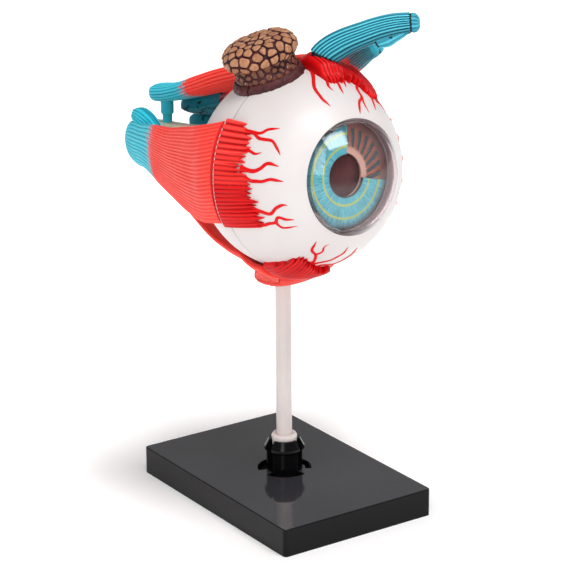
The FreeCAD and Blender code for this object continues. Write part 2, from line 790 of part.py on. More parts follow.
def gland_seat():
    """Low rim round the gland's foot, moulded on both halves of the shell."""
    inside = gland_neck_radius + gland_fit
    width = gland_seat_radius - inside
    profile = [
        (inside, -gland_height / 2),
        (gland_seat_radius, -gland_height / 2),
        (gland_seat_radius, gland_seat_height - width),
        (gland_seat_radius - width * 0.4, gland_seat_height - width * 0.3),
        (inside + width * 0.2, gland_seat_height),
        (inside, gland_seat_height - width * 0.1),
    ]
    return gland_place(gland_turned(profile)).cut(ball(globe_radius))


def gland_way_out():
    """The space that the gland's neck sweeps when the front shell moves forwards."""
    radius = gland_neck_radius + gland_fit
    sweep = Part.makeBox(2 * radius, 4 * radius, far / 4, Vector(-radius, -4 * radius, 0))
    return gland_place(sweep)


# ---------------------------------------------------------- cut, drill, write
def wall_peg(direction, f, grow=0.0):
    """A peg from inside the shell's wall to the middle of the strap outside."""
    low = inner_radius + lie_gap
    high = lie_radius(strap_thickness)
    start = math.sqrt(low ** 2 - f ** 2)
    end = math.sqrt(high ** 2 - f ** 2)
    return rod_at(peg_radius + grow, eye(0, f, 0) + direction * start, direction, end - start)


def build_all():
    """Every solid of the eye, by node name, in its place on the rod."""
    solids = {}
    temple = Vector(-1, 0, 0)
    nose = Vector(1, 0, 0)
    rear = rear_shell().cut(wall_peg(temple, wall_peg_f, peg_fit)).cut(wall_peg(nose, wall_peg_f, peg_fit))
    rear = rear.cut(belly_peg(peg_fit))
    solids["lateral_rectus"] = lateral_rectus().fuse(wall_peg(temple, wall_peg_f))
    solids["medial_rectus"] = medial_rectus().fuse(wall_peg(nose, wall_peg_f))
    solids["superior_rectus"] = superior_rectus().fuse(nerve_peg())
    solids["inferior_rectus"] = inferior_rectus()
    nerve = nerve_solid().cut(nerve_peg(peg_fit))
    vessels = nerve_vessels()
    for vessel in vessels:
        nerve = nerve.cut(vessel)
    solids["optic_nerve"] = nerve
    solids["nerve_vessels"] = Part.makeCompound(vessels)
    solids["front_sclera"] = front_shell()
    solids["choroid_cup"] = choroid_cup()
    solids["retina_cup"] = retina_cup()
    solids["vitreous_body"] = vitreous_body()
    solids["crystalline_lens"] = crystalline_lens()
    solids["ciliary_body"] = ciliary_body()
    solids["iris"] = iris_solid()
    solids["cornea"] = cornea_solid()
    solids["superior_oblique_belly"] = oblique_belly().fuse(belly_peg())
    solids["inferior_oblique"] = inferior_oblique()
    pads = tendon_pads()
    tendon = oblique_tendon()
    pad_centre = pad_direction(superior_pad_angle, superior_pad_lift)
    tendon = tendon.cut(cap_ball(pad_centre, superior_pad_thickness + lie_gap, superior_pad_spread))
    tendon = largest(tendon.cut(ball(globe_radius + lie_gap)))
    solids["superior_oblique_tendon"] = tendon
    cap, block = trochlea()
    solids["trochlea"] = cap.fuse(block.cut(tendon))
    solids.update(pads)
    solids["lacrimal_gland"] = lacrimal_gland()
    seat_ring = gland_seat()
    solids["gland_seat_front"] = seat_ring.cut(half_space(seam_forward + seam_gap / 2, False))
    solids["gland_seat_rear"] = seat_ring.cut(half_space(seam_forward - seam_gap)).cut(gland_way_out())
    seated = {name: seat(solid) for name, solid in solids.items()}
    rod_hole = upright(rod_radius + rod_fit, 0, socket_floor())
    boss = socket_boss().cut(seat(ball(inner_radius + lie_gap)))
    seated["rear_sclera"] = seat(rear).fuse(boss).cut(rod_hole)
    seated["inferior_rectus"] = seated["inferior_rectus"].cut(
        upright(socket_radius + lie_gap, 0, eye_height))
    seated["inferior_oblique"] = seated["inferior_oblique"].cut(rod_hole)
    return seated


for name, solid in build_all().items():
    save(name, solid)
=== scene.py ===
import math

import bpy
import numpy as np
from mathutils import Matrix, Vector


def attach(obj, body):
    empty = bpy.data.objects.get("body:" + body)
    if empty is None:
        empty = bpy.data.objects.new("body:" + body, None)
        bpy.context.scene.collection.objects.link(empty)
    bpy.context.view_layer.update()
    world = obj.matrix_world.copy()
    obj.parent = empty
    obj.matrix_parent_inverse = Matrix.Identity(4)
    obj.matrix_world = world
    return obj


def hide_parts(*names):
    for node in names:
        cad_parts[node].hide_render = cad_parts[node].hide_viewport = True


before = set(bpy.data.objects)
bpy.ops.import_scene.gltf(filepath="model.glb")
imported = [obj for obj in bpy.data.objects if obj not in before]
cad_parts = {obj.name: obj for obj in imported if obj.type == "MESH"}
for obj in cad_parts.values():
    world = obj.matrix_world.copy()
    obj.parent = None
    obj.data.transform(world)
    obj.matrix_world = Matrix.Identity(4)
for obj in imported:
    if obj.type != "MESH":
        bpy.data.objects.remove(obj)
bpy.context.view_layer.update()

# A take-apart eye on its stand. Shapes are made in the eye's own frame, in millimetres from the globe's
# centre: x towards the nose, y against the gaze, z upwards. f is the distance along the gaze, so y = -f.
# to_row() turns them into metres in the row frame.

MM = 0.001
EYE_TILT = math.radians(6.0)
EYE_TURN = math.radians(3.5)
EYE_HEIGHT = 113.2
EYE_AHEAD = 9.05  # globe's centre in front of the row frame's upright axis
GLOBE = 32.0  # radius of the shells' outer face
SHELL_INSIDE = 30.0
SEAM = 1.7  # f of the split between the two shells
LIE = 0.3  # gap between a piece and what it lies on
CLEAR = GLOBE + LIE
STRAP = 2.8  # thickness of a strap muscle
STRAP_FRONT = SEAM - 0.24
SQUARENESS = 1 / 0.3  # power of the rounded-square section
TURN = 2 * math.pi


# ------------------------------------------------------------------ geometry helpers
def xyz(x, y, z):
    return np.stack(np.broadcast_arrays(x, y, z), axis=-1)


def eye(x, f, u):
    return np.array((x, -f, u), float)


def turned(a, b, angle):
    return a * math.cos(angle) - b * math.sin(angle), a * math.sin(angle) + b * math.cos(angle)


def to_row(points):
    """Places in the eye's frame in millimetres to metres in the row frame."""
    x, y, z = np.moveaxis(points, -1, 0)
    ahead, height = turned(y, z, -EYE_TILT)
    across, along = turned(x, ahead - EYE_AHEAD, EYE_TURN)
    return xyz(across, along, height + EYE_HEIGHT) * MM


def smooth_step(low, high, value):
    share = np.clip((value - low) / (high - low), 0.0, 1.0)
    return share * share * (3.0 - 2.0 * share)


def blend(one, two, share):
    return one * (1 - share) + two * share


def bell(away, width):
    return np.exp(-((away / width) ** 2))


def through(xs, ys, x):
    """Smooth curve through stations, for numbers or vectors."""
    xs, ys = np.asarray(xs, float), np.asarray(ys, float)
    if xs[0] > xs[-1]:
        xs, ys = xs[::-1], ys[::-1]
    slopes = np.gradient(ys, xs, axis=0)
    low = np.clip(np.searchsorted(xs, x) - 1, 0, len(xs) - 2)
    span = xs[low + 1] - xs[low]
    t = (x - xs[low]) / span
    if ys.ndim > 1:
        t, span = t[:, None], span[:, None]
    t2, t3 = t * t, t * t * t
    return ((2 * t3 - 3 * t2 + 1) * ys[low] + (t3 - 2 * t2 + t) * span * slopes[low]
            + (3 * t2 - 2 * t3) * ys[low + 1] + (t3 - t2) * span * slopes[low + 1])


def unit(vectors):
    return vectors / np.maximum(np.linalg.norm(vectors, axis=-1, keepdims=True), 1e-9)


def lattice(ix, iy, iz, seed):
    """A fixed number between -1 and 1 for each whole place, from multiplied and folded bits."""
    value = (ix * 374761393 + iy * 668265263 + iz * 1274126177 + seed * 974634777) & 0xFFFFFFFF
    value = ((value ^ (value >> 13)) * 1274126177) & 0xFFFFFFFF
    return ((value ^ (value >> 16)) & 0xFFFF) / 32767.5 - 1.0


def noise(x, y, z, seed):
    """Smooth value noise between -1 and 1 on arrays."""
    place = np.stack(np.broadcast_arrays(x, y, z))
    whole = np.floor(place).astype(np.int64)
    part = place - whole
    part = part * part * (3 - 2 * part)
    total = 0.0
    for corner in np.ndindex(2, 2, 2):
        weight = 1.0
        for axis, step in enumerate(corner):
            weight = weight * (part[axis] if step else 1 - part[axis])
        total = total + weight * lattice(*(whole[axis] + corner[axis] for axis in range(3)), seed)
    return total


def noise_at(points, rate, seed):
    return noise(*np.moveaxis(points * rate, -1, 0), seed)


def chance(index, seed):
    """A fixed number between 0 and 1 for a whole number."""
    index = np.asarray(index, np.int64)
    return lattice(index, 0, 0, seed) * 0.5 + 0.5


def path_steps(places):
    """How far along its path each place lies."""
    return np.concatenate(((0,), np.cumsum(np.linalg.norm(np.diff(places, axis=0), axis=1))))


def resampled(outline, shares):
    """Radius and height at the given shares of the way along an outline of (radius, height)."""
    steps = path_steps(outline)
    return [np.interp(shares * steps[-1], steps, column) for column in outline.T]


def pushed_out(points, least, where=True):
    """Moves points that lie too near the globe's centre out to the least distance from it."""
    distance = np.linalg.norm(points, axis=-1)
    push = np.where((distance < least) & where, least / np.maximum(distance, 1e-6), 1.0)
    return points * push[..., None]


def grid_normals(points):
    """Outward normals of a grid whose columns run round a closed section."""
    across = np.roll(points, -1, axis=1) - np.roll(points, 1, axis=1)
    normals = unit(np.cross(np.gradient(points, axis=0), across))
    outwards = np.sum(normals * (points - points.mean(axis=1, keepdims=True))) >= 0
    return normals if outwards else -normals


def rounded(profile, radius, steps):
    """A (radius, height) profile with its inner corners rounded off."""
    points = [np.array(p, float) for p in profile]
    result = [points[0]]
    for before, corner, after in zip(points, points[1:], points[2:]):
        back, ahead = before - corner, after - corner
        reach = min(radius, np.linalg.norm(back) * 0.45, np.linalg.norm(ahead) * 0.45)
        start, end = corner + unit(back) * reach, corner + unit(ahead) * reach
        for t in np.arange(steps + 1) / steps:
            result.append((1 - t) ** 2 * start + 2 * t * (1 - t) * corner + t * t * end)
    return np.array(result + points[-1:])


# ------------------------------------------------------------------ meshes
def mesh_object(name, points, quads, triangles, attributes):
    """A smooth-shaded mesh from numpy arrays, with one float attribute per point and name."""
    mesh = bpy.data.meshes.new(name)
    mesh.vertices.add(len(points))
    mesh.vertices.foreach_set("co", np.ascontiguousarray(points, np.float32).ravel())
    loops = np.concatenate((quads.ravel(), triangles.ravel())).astype(np.int32)
    mesh.loops.add(len(loops))
    mesh.loops.foreach_set("vertex_index", loops)
    sizes = np.concatenate((np.full(len(quads), 4), np.full(len(triangles), 3)))
    starts = np.concatenate(((0,), np.cumsum(sizes)[:-1])).astype(np.int32)
    mesh.polygons.add(len(sizes))
    mesh.polygons.foreach_set("loop_start", starts)
    mesh.polygons.foreach_set("use_smooth", sizes == 4)
    mesh.update(calc_edges=True)
    mesh.validate()
    for label, values in attributes.items():
        layer = mesh.attributes.new(label, "FLOAT", "POINT")
        layer.data.foreach_set("value", np.ascontiguousarray(values, np.float32))
    obj = bpy.data.objects.new(name, mesh)
    bpy.context.scene.collection.objects.link(obj)
    return obj


class Shape:
    """Grids of points gathered into one mesh."""

    def __init__(self):
        self.points, self.quads, self.triangles, self.values = [], [], [np.zeros((0, 3), int)], []
        self.count = 0

    def grid(self, points, closed=True, caps=True, ring=False, **values):
        """Adds a grid. A closed one joins its last column to its first, a ring its last row too."""
        rows, cols = points.shape[:2]
        index = np.arange(rows * cols).reshape(rows, cols)
        if closed:
            index = np.append(index, index[:, :1], axis=1)
        if ring:
            index = np.append(index, index[:1], axis=0)
        quads = (index[:-1, :-1], index[:-1, 1:], index[1:, 1:], index[1:, :-1])
        quads = np.stack(quads, axis=-1).reshape(-1, 4)
        flat = points.reshape(-1, 3)
        inside = points.mean(axis=1, keepdims=True) if closed else 0.0
        outward = (points - inside).reshape(-1, 3)[quads[:, 0]]
        a, b, c = (flat[quads[:, corner]] for corner in range(3))
        if np.sum(np.cross(b - a, c - a) * outward) < 0:
            quads = quads[:, ::-1]
        self.quads.append(quads + self.count)
        ends = (0, rows - 1) if caps and closed and not ring else ()
        for number, row in enumerate(ends):
            loop = index[row, :-1]
            fan = np.stack((loop, np.roll(loop, -1), np.full(cols, rows * cols + number)), axis=-1)
            self.triangles.append(self.count + (fan if row else fan[:, ::-1]))
        ends = list(ends)
        self.points.append(np.concatenate((flat, points[ends].mean(axis=1))))
        full = {key: np.broadcast_to(value, (rows, cols)) for key, value in values.items()}
        self.values.append({key: np.append(value, value[ends, 0]) for key, value in full.items()})
        self.count += len(self.points[-1])

    def peg(self, start, direction, length, radius, tint=0.0, collar=None):
        """Adds a moulded peg with a chamfered tip. A collar of (radius, length) widens its root."""
        tip = min(0.5, radius * 0.4)
        root = [(radius, 0.0)]
        if collar:
            wide, depth = collar
            root = [(radius, depth + 0.4), (wide, depth), (wide, 0.0)]
        profile = [(0.02, length), (radius - tip, length), (radius, length - tip), *root, (0.02, 0.0)]
        reach, height = rounded(profile, 0.3, 3).T[..., None, None]
        axis = unit(direction)
        one = unit(np.cross(axis, (1, 0, 0) if abs(axis[0]) < 0.9 else (0, 1, 0)))
        angle = np.linspace(0, TURN, 48, endpoint=False)[:, None]
        spoke = np.cos(angle) * one + np.sin(angle) * np.cross(axis, one)
        self.grid(start + reach * spoke + height * axis, groove=0.0, tint=tint)

    def wall_peg(self, side):
        """Adds the peg that goes through the shell's wall, towards the nose (1) or away from it (-1)."""
        low = math.sqrt((SHELL_INSIDE + LIE) ** 2 - PEG_F ** 2)
        high = math.sqrt((CLEAR + STRAP / 2) ** 2 - PEG_F ** 2)
        self.peg(eye(side * high, PEG_F, 0), np.array((-side, 0, 0)), high - low, PEG_RADIUS)

    def finish(self, name, body, node, look):
        """Makes the piece, which rides on a body and takes the place of a CAD node if one is named."""
        labels = dict.fromkeys(label for values in self.values for label in values)
        parts = list(zip(self.values, self.points))
        attributes = {label: np.concatenate([values.get(label, np.zeros(len(points)))
                                             for values, points in parts]) for label in labels}
        obj = mesh_object(name, to_row(np.concatenate(self.points)), np.concatenate(self.quads),
                          np.concatenate(self.triangles), attributes)
        obj.data.materials.append(looks[look])
        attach(obj, body)
        if node:
            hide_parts(node)


# ------------------------------------------------------------------ node materials
def rgb(*channels):
    """An sRGB colour of 0 to 255 as the shader's linear colour."""
    shares = [value / 255.0 for value in channels]
    return (*(c / 12.92 if c <= 0.04045 else ((c + 0.055) / 1.055) ** 2.4 for c in shares), 1.0)


def palette(plain, deep, light):
    return rgb(*plain), rgb(*deep), rgb(*light)


class Paint:
    """A material's node tree, built up step by step."""

    def __init__(self, name):
        self.name = name
        self.material = bpy.data.materials.new(name)
        self.material.use_nodes = True
        self.tree = self.material.node_tree
        self.tree.nodes.clear()
        self.shader = self.node("BsdfPrincipled")
        self.node("OutputMaterial", {"Surface": self.shader.outputs[0]})
        self.place = self.node("TexCoord").outputs["Object"]

    def node(self, kind, inputs=(), **settings):
        """A shader node with its settings. Each of its inputs is a value or another node's socket."""
        node = self.tree.nodes.new("ShaderNode" + kind)
        for key, value in settings.items():
            setattr(node, key, value)
        for key, value in dict(inputs).items():
            self.put(node.inputs[key], value)
        return node

    def put(self, socket, value):
        if isinstance(value, bpy.types.NodeSocket):
            self.tree.links.new(value, socket)
        else:
            socket.default_value = value

    def set(self, **sockets):
        for key, value in sockets.items():
            self.put(self.shader.inputs[key.replace("_", " ")], value)

    def attribute(self, name):
        return self.node("Attribute", attribute_name=name).outputs["Fac"]

    def noise(self, scale, detail=2.0, rough=0.5, place=None, distortion=0.0):
        return self.node("TexNoise", {"Scale": scale, "Detail": detail, "Roughness": rough,
                                      "Distortion": distortion, "Vector": place or self.place}).outputs["Fac"]

    def cell_edge(self, scale, place=None):
        return self.node("TexVoronoi", {"Scale": scale, "Vector": place or self.place},
                         feature="DISTANCE_TO_EDGE").outputs["Distance"]

    def span(self, value, low, high, to_low=0.0, to_high=1.0, kind="LINEAR"):
        return self.node("MapRange", {"Value": value, "From Min": low, "From Max": high, "To Min": to_low,
                                      "To Max": to_high}, interpolation_type=kind).outputs[0]

    def step(self, value, low, high, to_low=0.0, to_high=1.0):
        return self.span(value, low, high, to_low, to_high, "SMOOTHSTEP")

    def cloud(self, scale, detail=2.0, rough=0.5, low=0.3, high=0.7, to_low=0.0, to_high=1.0):
        return self.span(self.noise(scale, detail, rough), low, high, to_low, to_high)

    def math(self, operation, one, two=0.0):
        return self.node("Math", {0: one, 1: two}, operation=operation).outputs[0]

    def times(self, one, two):
        return self.math("MULTIPLY", one, two)

    def plus(self, one, two):
        return self.math("ADD", one, two)

    def less(self, one, two):
        return self.math("SUBTRACT", one, two)

    def apart(self, one, two):
        return self.math("ABSOLUTE", self.less(one, two))

    def mix(self, share, one, two):
        return self.node("Mix", {"Factor": share, 6: one, 7: two}, data_type="RGBA").outputs[2]

    def layered(self, tone, *coats):
        """Lays coats of (share, colour) over a tone, one after another."""
        for share, colour in coats:
            tone = self.mix(share, tone, colour)
        return tone

    def bump(self, *layers, normal=None):
        """Stacks layers of (height socket, depth in metres, strength) into one normal."""
        for height, depth, strength in layers:
            below = {} if normal is None else {"Normal": normal}
            inputs = {"Height": height, "Distance": depth, "Strength": strength, **below}
            normal = self.node("Bump", inputs).outputs[0]
        self.set(Normal=normal)
        return self


def painted(name, ground, sprayed, gloss=0.44, spread=0.5, coat=0.0, shine=0.16, cracks=0.0):
    """Painted soft plastic with painted shade in its grooves and painted highlights on its crests, sprayed
    over to a second colour.
    """
    paint = Paint(name)
    groove = paint.attribute("groove")
    crest = paint.times(paint.attribute("crest"), 0.55)
    patch = paint.cloud(55.0, 3.0, to_high=0.3)
    # The groove attribute lays in the deep colour as painted shade, the crest attribute the light colour as a
    # painted highlight.
    tone, second = (paint.layered(plain, (patch, light), (crest, light), (groove, deep))
                    for plain, deep, light in (ground, sprayed))
    if cracks:
        lines = paint.times(paint.step(paint.cell_edge(210.0), 0.1, 0.03),
                            paint.step(paint.noise(150.0), 0.46, 0.56))
        lines = paint.times(lines, paint.less(1.0, paint.attribute("clean")))
        second = paint.mix(paint.times(lines, cracks), second, rgb(8, 12, 15))
    speckle = paint.times(paint.less(paint.noise(1300.0, 2.0, 0.7), 0.5), spread * 2.2)
    blotch = paint.times(paint.less(paint.noise(190.0, 3.0, 0.6), 0.5), spread * 0.7)
    share = paint.plus(paint.attribute("tint"), paint.plus(speckle, blotch))
    scuff = paint.cloud(120.0, 4.0, 0.65, 0.3, 0.75, gloss - 0.07, gloss + 0.12)
    paint.set(Base_Color=paint.mix(paint.step(share, 0.3, 0.7), tone, second), Roughness=scuff, IOR=1.45,
              Specular_IOR_Level=shine, Coat_Weight=coat, Coat_Roughness=0.16)
    return paint.bump((paint.noise(260.0, 3.0, 0.6), 0.00012, 0.4),
                      (paint.noise(2600.0, 2.0, 0.6), 0.00002, 0.35))


def white_shell():
    """Warm white gloss moulding with faint clouds, dust and scuffs, and a grey line painted along the seam as
    the shade in its gap.
    """
    paint = Paint("white_shell")
    gaze = unit(to_row(eye(0, 1, 0)) - to_row(eye(0, 0, 0)))
    along = paint.node("VectorMath", {0: paint.place, 1: tuple(gaze)}, operation="DOT_PRODUCT")
    away = paint.apart(along.outputs["Value"], float(to_row(eye(0, SEAM, 0)) @ gaze))
    # The line along the seam is painted shade, standing in for the gap between the shells.
    line = paint.times(paint.step(away, 0.00034, 0.00012), paint.cloud(120.0, 2.0, 0.5, 0.35, 0.65, 0.2, 0.5))
    tone = paint.layered(rgb(220, 214, 213), (paint.cloud(38.0, 3.0, 0.55), rgb(215, 208, 206)),
                         (paint.cloud(900.0, 1.0, 0.4, 0.74, 0.8), rgb(222, 213, 208)),
                         (line, rgb(128, 112, 110)))
    paint.set(Base_Color=tone, Roughness=paint.cloud(260.0, 5.0, 0.7, 0.35, 0.75, 0.36, 0.5), IOR=1.47,
              Coat_Weight=0.08, Coat_Roughness=0.22, Subsurface_Weight=0.12, Subsurface_Scale=0.002,
              Subsurface_Radius=(1.0, 0.6, 0.5))
    return paint.bump((paint.noise(90.0), 0.0001, 0.12), (paint.noise(3200.0), 0.00001, 0.2))


def rod_white():
    """Off-white rod with faint draw lines along it."""
    paint = Paint("rod_white")
    stretch = paint.node("Mapping", {"Scale": (1.0, 1.0, 0.04), "Vector": paint.place})
    lines = paint.noise(1400.0, 2.0, 0.6, stretch.outputs[0])
    paint.set(Base_Color=paint.mix(paint.cloud(40.0, 3.0), rgb(228, 219, 216), rgb(219, 209, 206)),
              Roughness=paint.span(lines, 0.3, 0.7, 0.24, 0.4), IOR=1.5, Subsurface_Weight=0.15,
              Subsurface_Scale=0.002)
    return paint.bump((lines, 0.00003, 0.35), (paint.noise(70.0), 0.0001, 0.1))


def stand_black(name, gloss, edge, dust_and_lit_top):
    """Black gloss plastic with swirl scuffs, dust, a slight orange-peel and softened edges; its up-facing
    faces are paler, partly from dust and partly as painted light on the top.
    """
    paint = Paint(name)
    cloud = paint.cloud(30.0, 3.0)
    normal = paint.node("SeparateXYZ", {0: paint.node("NewGeometry").outputs["Normal"]})
    # Paler up-facing faces: partly dust, partly painted light falling on the top.
    dust_and_top_light = paint.times(paint.span(normal.outputs["Z"], 0.7, 0.98), paint.span(cloud, 0.0, 1.0, 0.75, 1.0))
    tone = paint.layered(rgb(8, 8, 10), (cloud, rgb(13, 13, 15)), (paint.times(dust_and_top_light, dust_and_lit_top), rgb(51, 51, 55)),
                         (paint.cloud(2300.0, 2.0, 0.5, 0.72, 0.8, 0.0, 0.35), rgb(74, 74, 78)))
    swirl = paint.noise(420.0, 5.0, 0.75, distortion=1.2)
    paint.set(Base_Color=tone, Roughness=paint.span(swirl, 0.4, 0.8, gloss - 0.03, gloss + 0.12), IOR=1.48,
              Specular_IOR_Level=paint.span(dust_and_top_light, 0.0, 1.0, 0.18, 0.62))
    bevel = paint.node("Bevel", {"Radius": edge}, samples=6)
    return paint.bump((paint.noise(75.0), 0.00012, 0.12), (paint.noise(1900.0), 0.00001, 0.15),
                      normal=bevel.outputs[0])


def gland_skin():
    """Tan glazed cells, some paler than others, with pale flecks painted on as glints, over maroon grooves,
    cracked black in places.
    """
    paint = Paint("gland_brown")
    groove = paint.attribute("groove")
    mottle = paint.cloud(620.0, 4.0, 0.7, 0.4)
    # Pale flecks painted on as glints.
    glint_flecks = paint.times(paint.cloud(1500.0, 2.0, 0.6, 0.62), 0.65)
    split = paint.times(paint.step(groove, 0.7, 0.98), paint.step(paint.noise(140.0), 0.44, 0.58))
    tone = paint.layered(rgb(168, 112, 78), (paint.attribute("cell"), rgb(194, 140, 102)),
                         (paint.times(mottle, 0.45), rgb(120, 72, 50)),
                         (paint.attribute("low"), rgb(112, 68, 48)), (glint_flecks, rgb(226, 196, 164)),
                         (paint.step(groove, 0.08, 0.4), rgb(80, 36, 40)), (split, rgb(26, 16, 20)))
    paint.set(Base_Color=tone, Roughness=paint.span(mottle, 0.0, 1.0, 0.36, 0.58), IOR=1.45,
              Specular_IOR_Level=0.28, Coat_Weight=0.06, Coat_Roughness=0.25)
    return paint.bump((paint.noise(900.0, 4.0, 0.65), 0.00014, 0.7), (paint.noise(2600.0), 0.00003, 0.4))


def gland_foot():
    """Rough maroon rim with stains and a few tan crumbs, painted near black as shade in its hollows and along
    its split.
    """
    paint = Paint("gland_foot")
    crumbs = paint.times(paint.cloud(700.0, 3.0, 0.6, 0.66, 0.74), 0.6)
    tone = paint.layered(rgb(98, 50, 50), (paint.cloud(260.0, 4.0, 0.65, 0.35, 0.65), rgb(70, 32, 36)),
                         (crumbs, rgb(150, 98, 72)), (paint.attribute("groove"), rgb(20, 12, 14)))
    paint.set(Base_Color=tone, Roughness=paint.cloud(300.0, 3.0, to_low=0.38, to_high=0.6), IOR=1.45,
              Specular_IOR_Level=0.25)
    return paint.bump((paint.noise(620.0, 4.0, 0.6), 0.0002, 0.8), (paint.noise(2600.0), 0.00002, 0.4))


def nerve_cream():
    """Cream sheath with long fibres, darker and rosier in its furrows."""
    paint = Paint("nerve_cream")
    cloud = paint.cloud(90.0, 4.0, 0.6)
    tone = paint.layered(rgb(238, 222, 196), (cloud, rgb(226, 204, 172)),
                         (paint.attribute("groove"), rgb(170, 118, 92)))
    paint.set(Base_Color=tone, Roughness=paint.span(cloud, 0.0, 1.0, 0.3, 0.44), IOR=1.48, Coat_Weight=0.25,
              Coat_Roughness=0.12, Subsurface_Weight=0.1, Subsurface_Scale=0.002)
    return paint.bump((paint.noise(420.0, 3.0), 0.0001, 0.4), (paint.noise(2600.0), 0.00002, 0.4))


def polar_noise(paint, detail, rough, rate, reach):
    """Noise that repeats round the optical axis without a seam."""
    turn = paint.attribute("turn")
    spot = paint.node("CombineXYZ", {0: paint.times(paint.math("COSINE", turn), rate),
                                     1: paint.times(paint.math("SINE", turn), rate),
                                     2: paint.times(paint.attribute("radius"), reach)})
    return paint.noise(1.0, detail, rough, spot.outputs[0])


IRIS_INNER = 6.5
IRIS_OUTER = 16.0
RING_RADII = (13.03, 9.05)
RING_WIDTH = 0.66


def iris_blue():
    """Teal iris with radial fibres, a darker edge, two olive rings and a dark pupil rim."""
    paint = Paint("iris_blue")
    radius = paint.attribute("radius")
    fibres = polar_noise(paint, 3.0, 0.62, 26.0, 0.32)
    fine = polar_noise(paint, 2.0, 0.6, 64.0, 0.22)
    strand = paint.span(paint.plus(fibres, paint.times(fine, 0.6)), 0.62, 0.98)

    def ring(centre, width, soft):
        return paint.step(paint.apart(radius, centre), width / 2 + soft, width / 2 - soft)

    olive = [(paint.times(ring(centre, RING_WIDTH, 0.08), 0.92), rgb(182, 188, 58)) for centre in RING_RADII]
    tone = paint.layered(rgb(20, 128, 152), (strand, rgb(94, 194, 208)),
                         (paint.times(paint.step(radius, 13.6, IRIS_OUTER), 0.6), rgb(16, 104, 130)),
                         (paint.times(paint.step(radius, 8.6, IRIS_INNER), 0.3), rgb(40, 132, 146)), *olive,
                         (ring(IRIS_INNER, 0.5, 0.15), rgb(44, 34, 34)),
                         (ring(IRIS_OUTER, 0.5, 0.12), rgb(16, 60, 76)))
    paint.set(Base_Color=tone, Roughness=paint.span(fibres, 0.3, 0.7, 0.3, 0.46), IOR=1.47, Coat_Weight=0.3,
              Coat_Roughness=0.1)
    return paint.bump((fibres, 0.0002, 0.5), (fine, 0.0001, 0.35))


def ciliary_stripes():
    """Pleats painted brown and dark teal by turns, between a pale inner zone and a maroon border."""
    paint = Paint("ciliary_stripes")
    radius = paint.attribute("radius")
    fibres = polar_noise(paint, 3.0, 0.6, 40.0, 0.5)
    ragged = paint.times(paint.less(polar_noise(paint, 2.0, 0.6, 90.0, 0.9), 0.5), 1.5)
    brown = paint.mix(fibres, rgb(140, 74, 62), rgb(184, 112, 90))
    teal = paint.mix(fibres, rgb(36, 58, 66), rgb(74, 96, 104))
    uneven = paint.plus(radius, paint.times(ragged, 1.6))
    tone = paint.layered(brown, (paint.step(paint.plus(paint.attribute("stripe"), ragged), 0.44, 0.68), teal),
                         (paint.step(uneven, 9.4, 8.5), rgb(210, 160, 146)),
                         (paint.step(uneven, 14.3, 15.0), rgb(140, 84, 78)),
                         (paint.step(radius, 16.2, 18.4), rgb(118, 84, 88)))
    paint.set(Base_Color=tone, Roughness=paint.span(fibres, 0.3, 0.7, 0.36, 0.52), IOR=1.45)
    return paint.bump((fibres, 0.0002, 0.5))


def vessel_lined(name, ground, ground_light, vessel, scale):
    """A lining with branching vessels as the bent edges of two cell patterns."""
    paint = Paint(name)
    bend = paint.node("TexNoise", {"Scale": scale * 1.6, "Detail": 3.0, "Vector": paint.place})
    bent = paint.node("VectorMath", {0: bend.outputs["Color"], 1: (0.4 / scale,) * 3, 2: paint.place},
                      operation="MULTIPLY_ADD").outputs[0]
    lines = paint.math("MAXIMUM", paint.step(paint.cell_edge(scale, bent), 0.0, 0.055, 1.0, 0.0),
                       paint.step(paint.cell_edge(scale * 2.7, bent), 0.0, 0.05, 0.7, 0.0))
    cloud = paint.cloud(scale * 2.0, 4.0, 0.6)
    tone = paint.layered(rgb(*ground), (cloud, rgb(*ground_light)), (paint.times(lines, 0.85), rgb(*vessel)))
    paint.set(Base_Color=tone, Roughness=paint.span(cloud, 0.0, 1.0, 0.3, 0.46), IOR=1.47, Coat_Weight=0.2,
              Coat_Roughness=0.2)
    return paint.bump((lines, 0.0002, 0.6), (paint.noise(900.0, 3.0), 0.00005, 0.4))


def clear(name, tint, rough, ior, passing=1.0, milky_and_painted_rim=0.0, glaze=0.0, shine=0.5):
    """Clear acrylic with a barely uneven polish. Cloudy acrylic lets less light through where it is seen
    edge-on, and there takes bands of colour: rose as painted refraction, pale grey partly its own cloudiness
    and partly painted reflection, and dark as a painted silhouette line.
    """
    paint = Paint(name)
    polish = paint.cloud(180.0, 4.0, 0.7, 0.4, 0.8, rough, rough + 0.03)
    tint = (*tint, 1.0)
    if milky_and_painted_rim:
        facing = paint.node("LayerWeight", {"Blend": 0.5}).outputs["Facing"]
        passing = paint.step(facing, 0.64, 0.93, 1.0, 1.0 - milky_and_painted_rim)
        # Bands by facing: rose is painted refraction, pale grey partly cloudiness and partly painted
        # reflection, dark a painted silhouette line.
        tone = paint.layered(tint, (paint.step(facing, 0.3, 0.52), rgb(184, 152, 156)),
                             (paint.step(facing, 0.66, 0.84), rgb(184, 184, 188)),
                             (paint.step(facing, 0.9, 0.98), rgb(104, 98, 102)))
    else:
        duller = (*(c * 0.985 for c in tint[:3]), 1.0)
        tone = paint.mix(paint.cloud(60.0, 3.0, 0.6, 0.35, 0.75), tint, duller)
    paint.set(Base_Color=tone, Roughness=polish, IOR=ior, Transmission_Weight=passing,
              Specular_IOR_Level=shine, Coat_Weight=glaze, Coat_Roughness=0.03)
    return paint.bump((paint.noise(45.0), 0.00005, 0.05))


def vessel_red():
    paint = Paint("vessel_red")
    paint.set(Base_Color=paint.mix(paint.cloud(300.0, 3.0), rgb(196, 28, 32), rgb(150, 16, 24)),
              Roughness=paint.cloud(500.0, 3.0, to_low=0.25, to_high=0.4), Coat_Weight=0.4)
    return paint.bump((paint.noise(700.0, 3.0), 0.0001, 0.4))


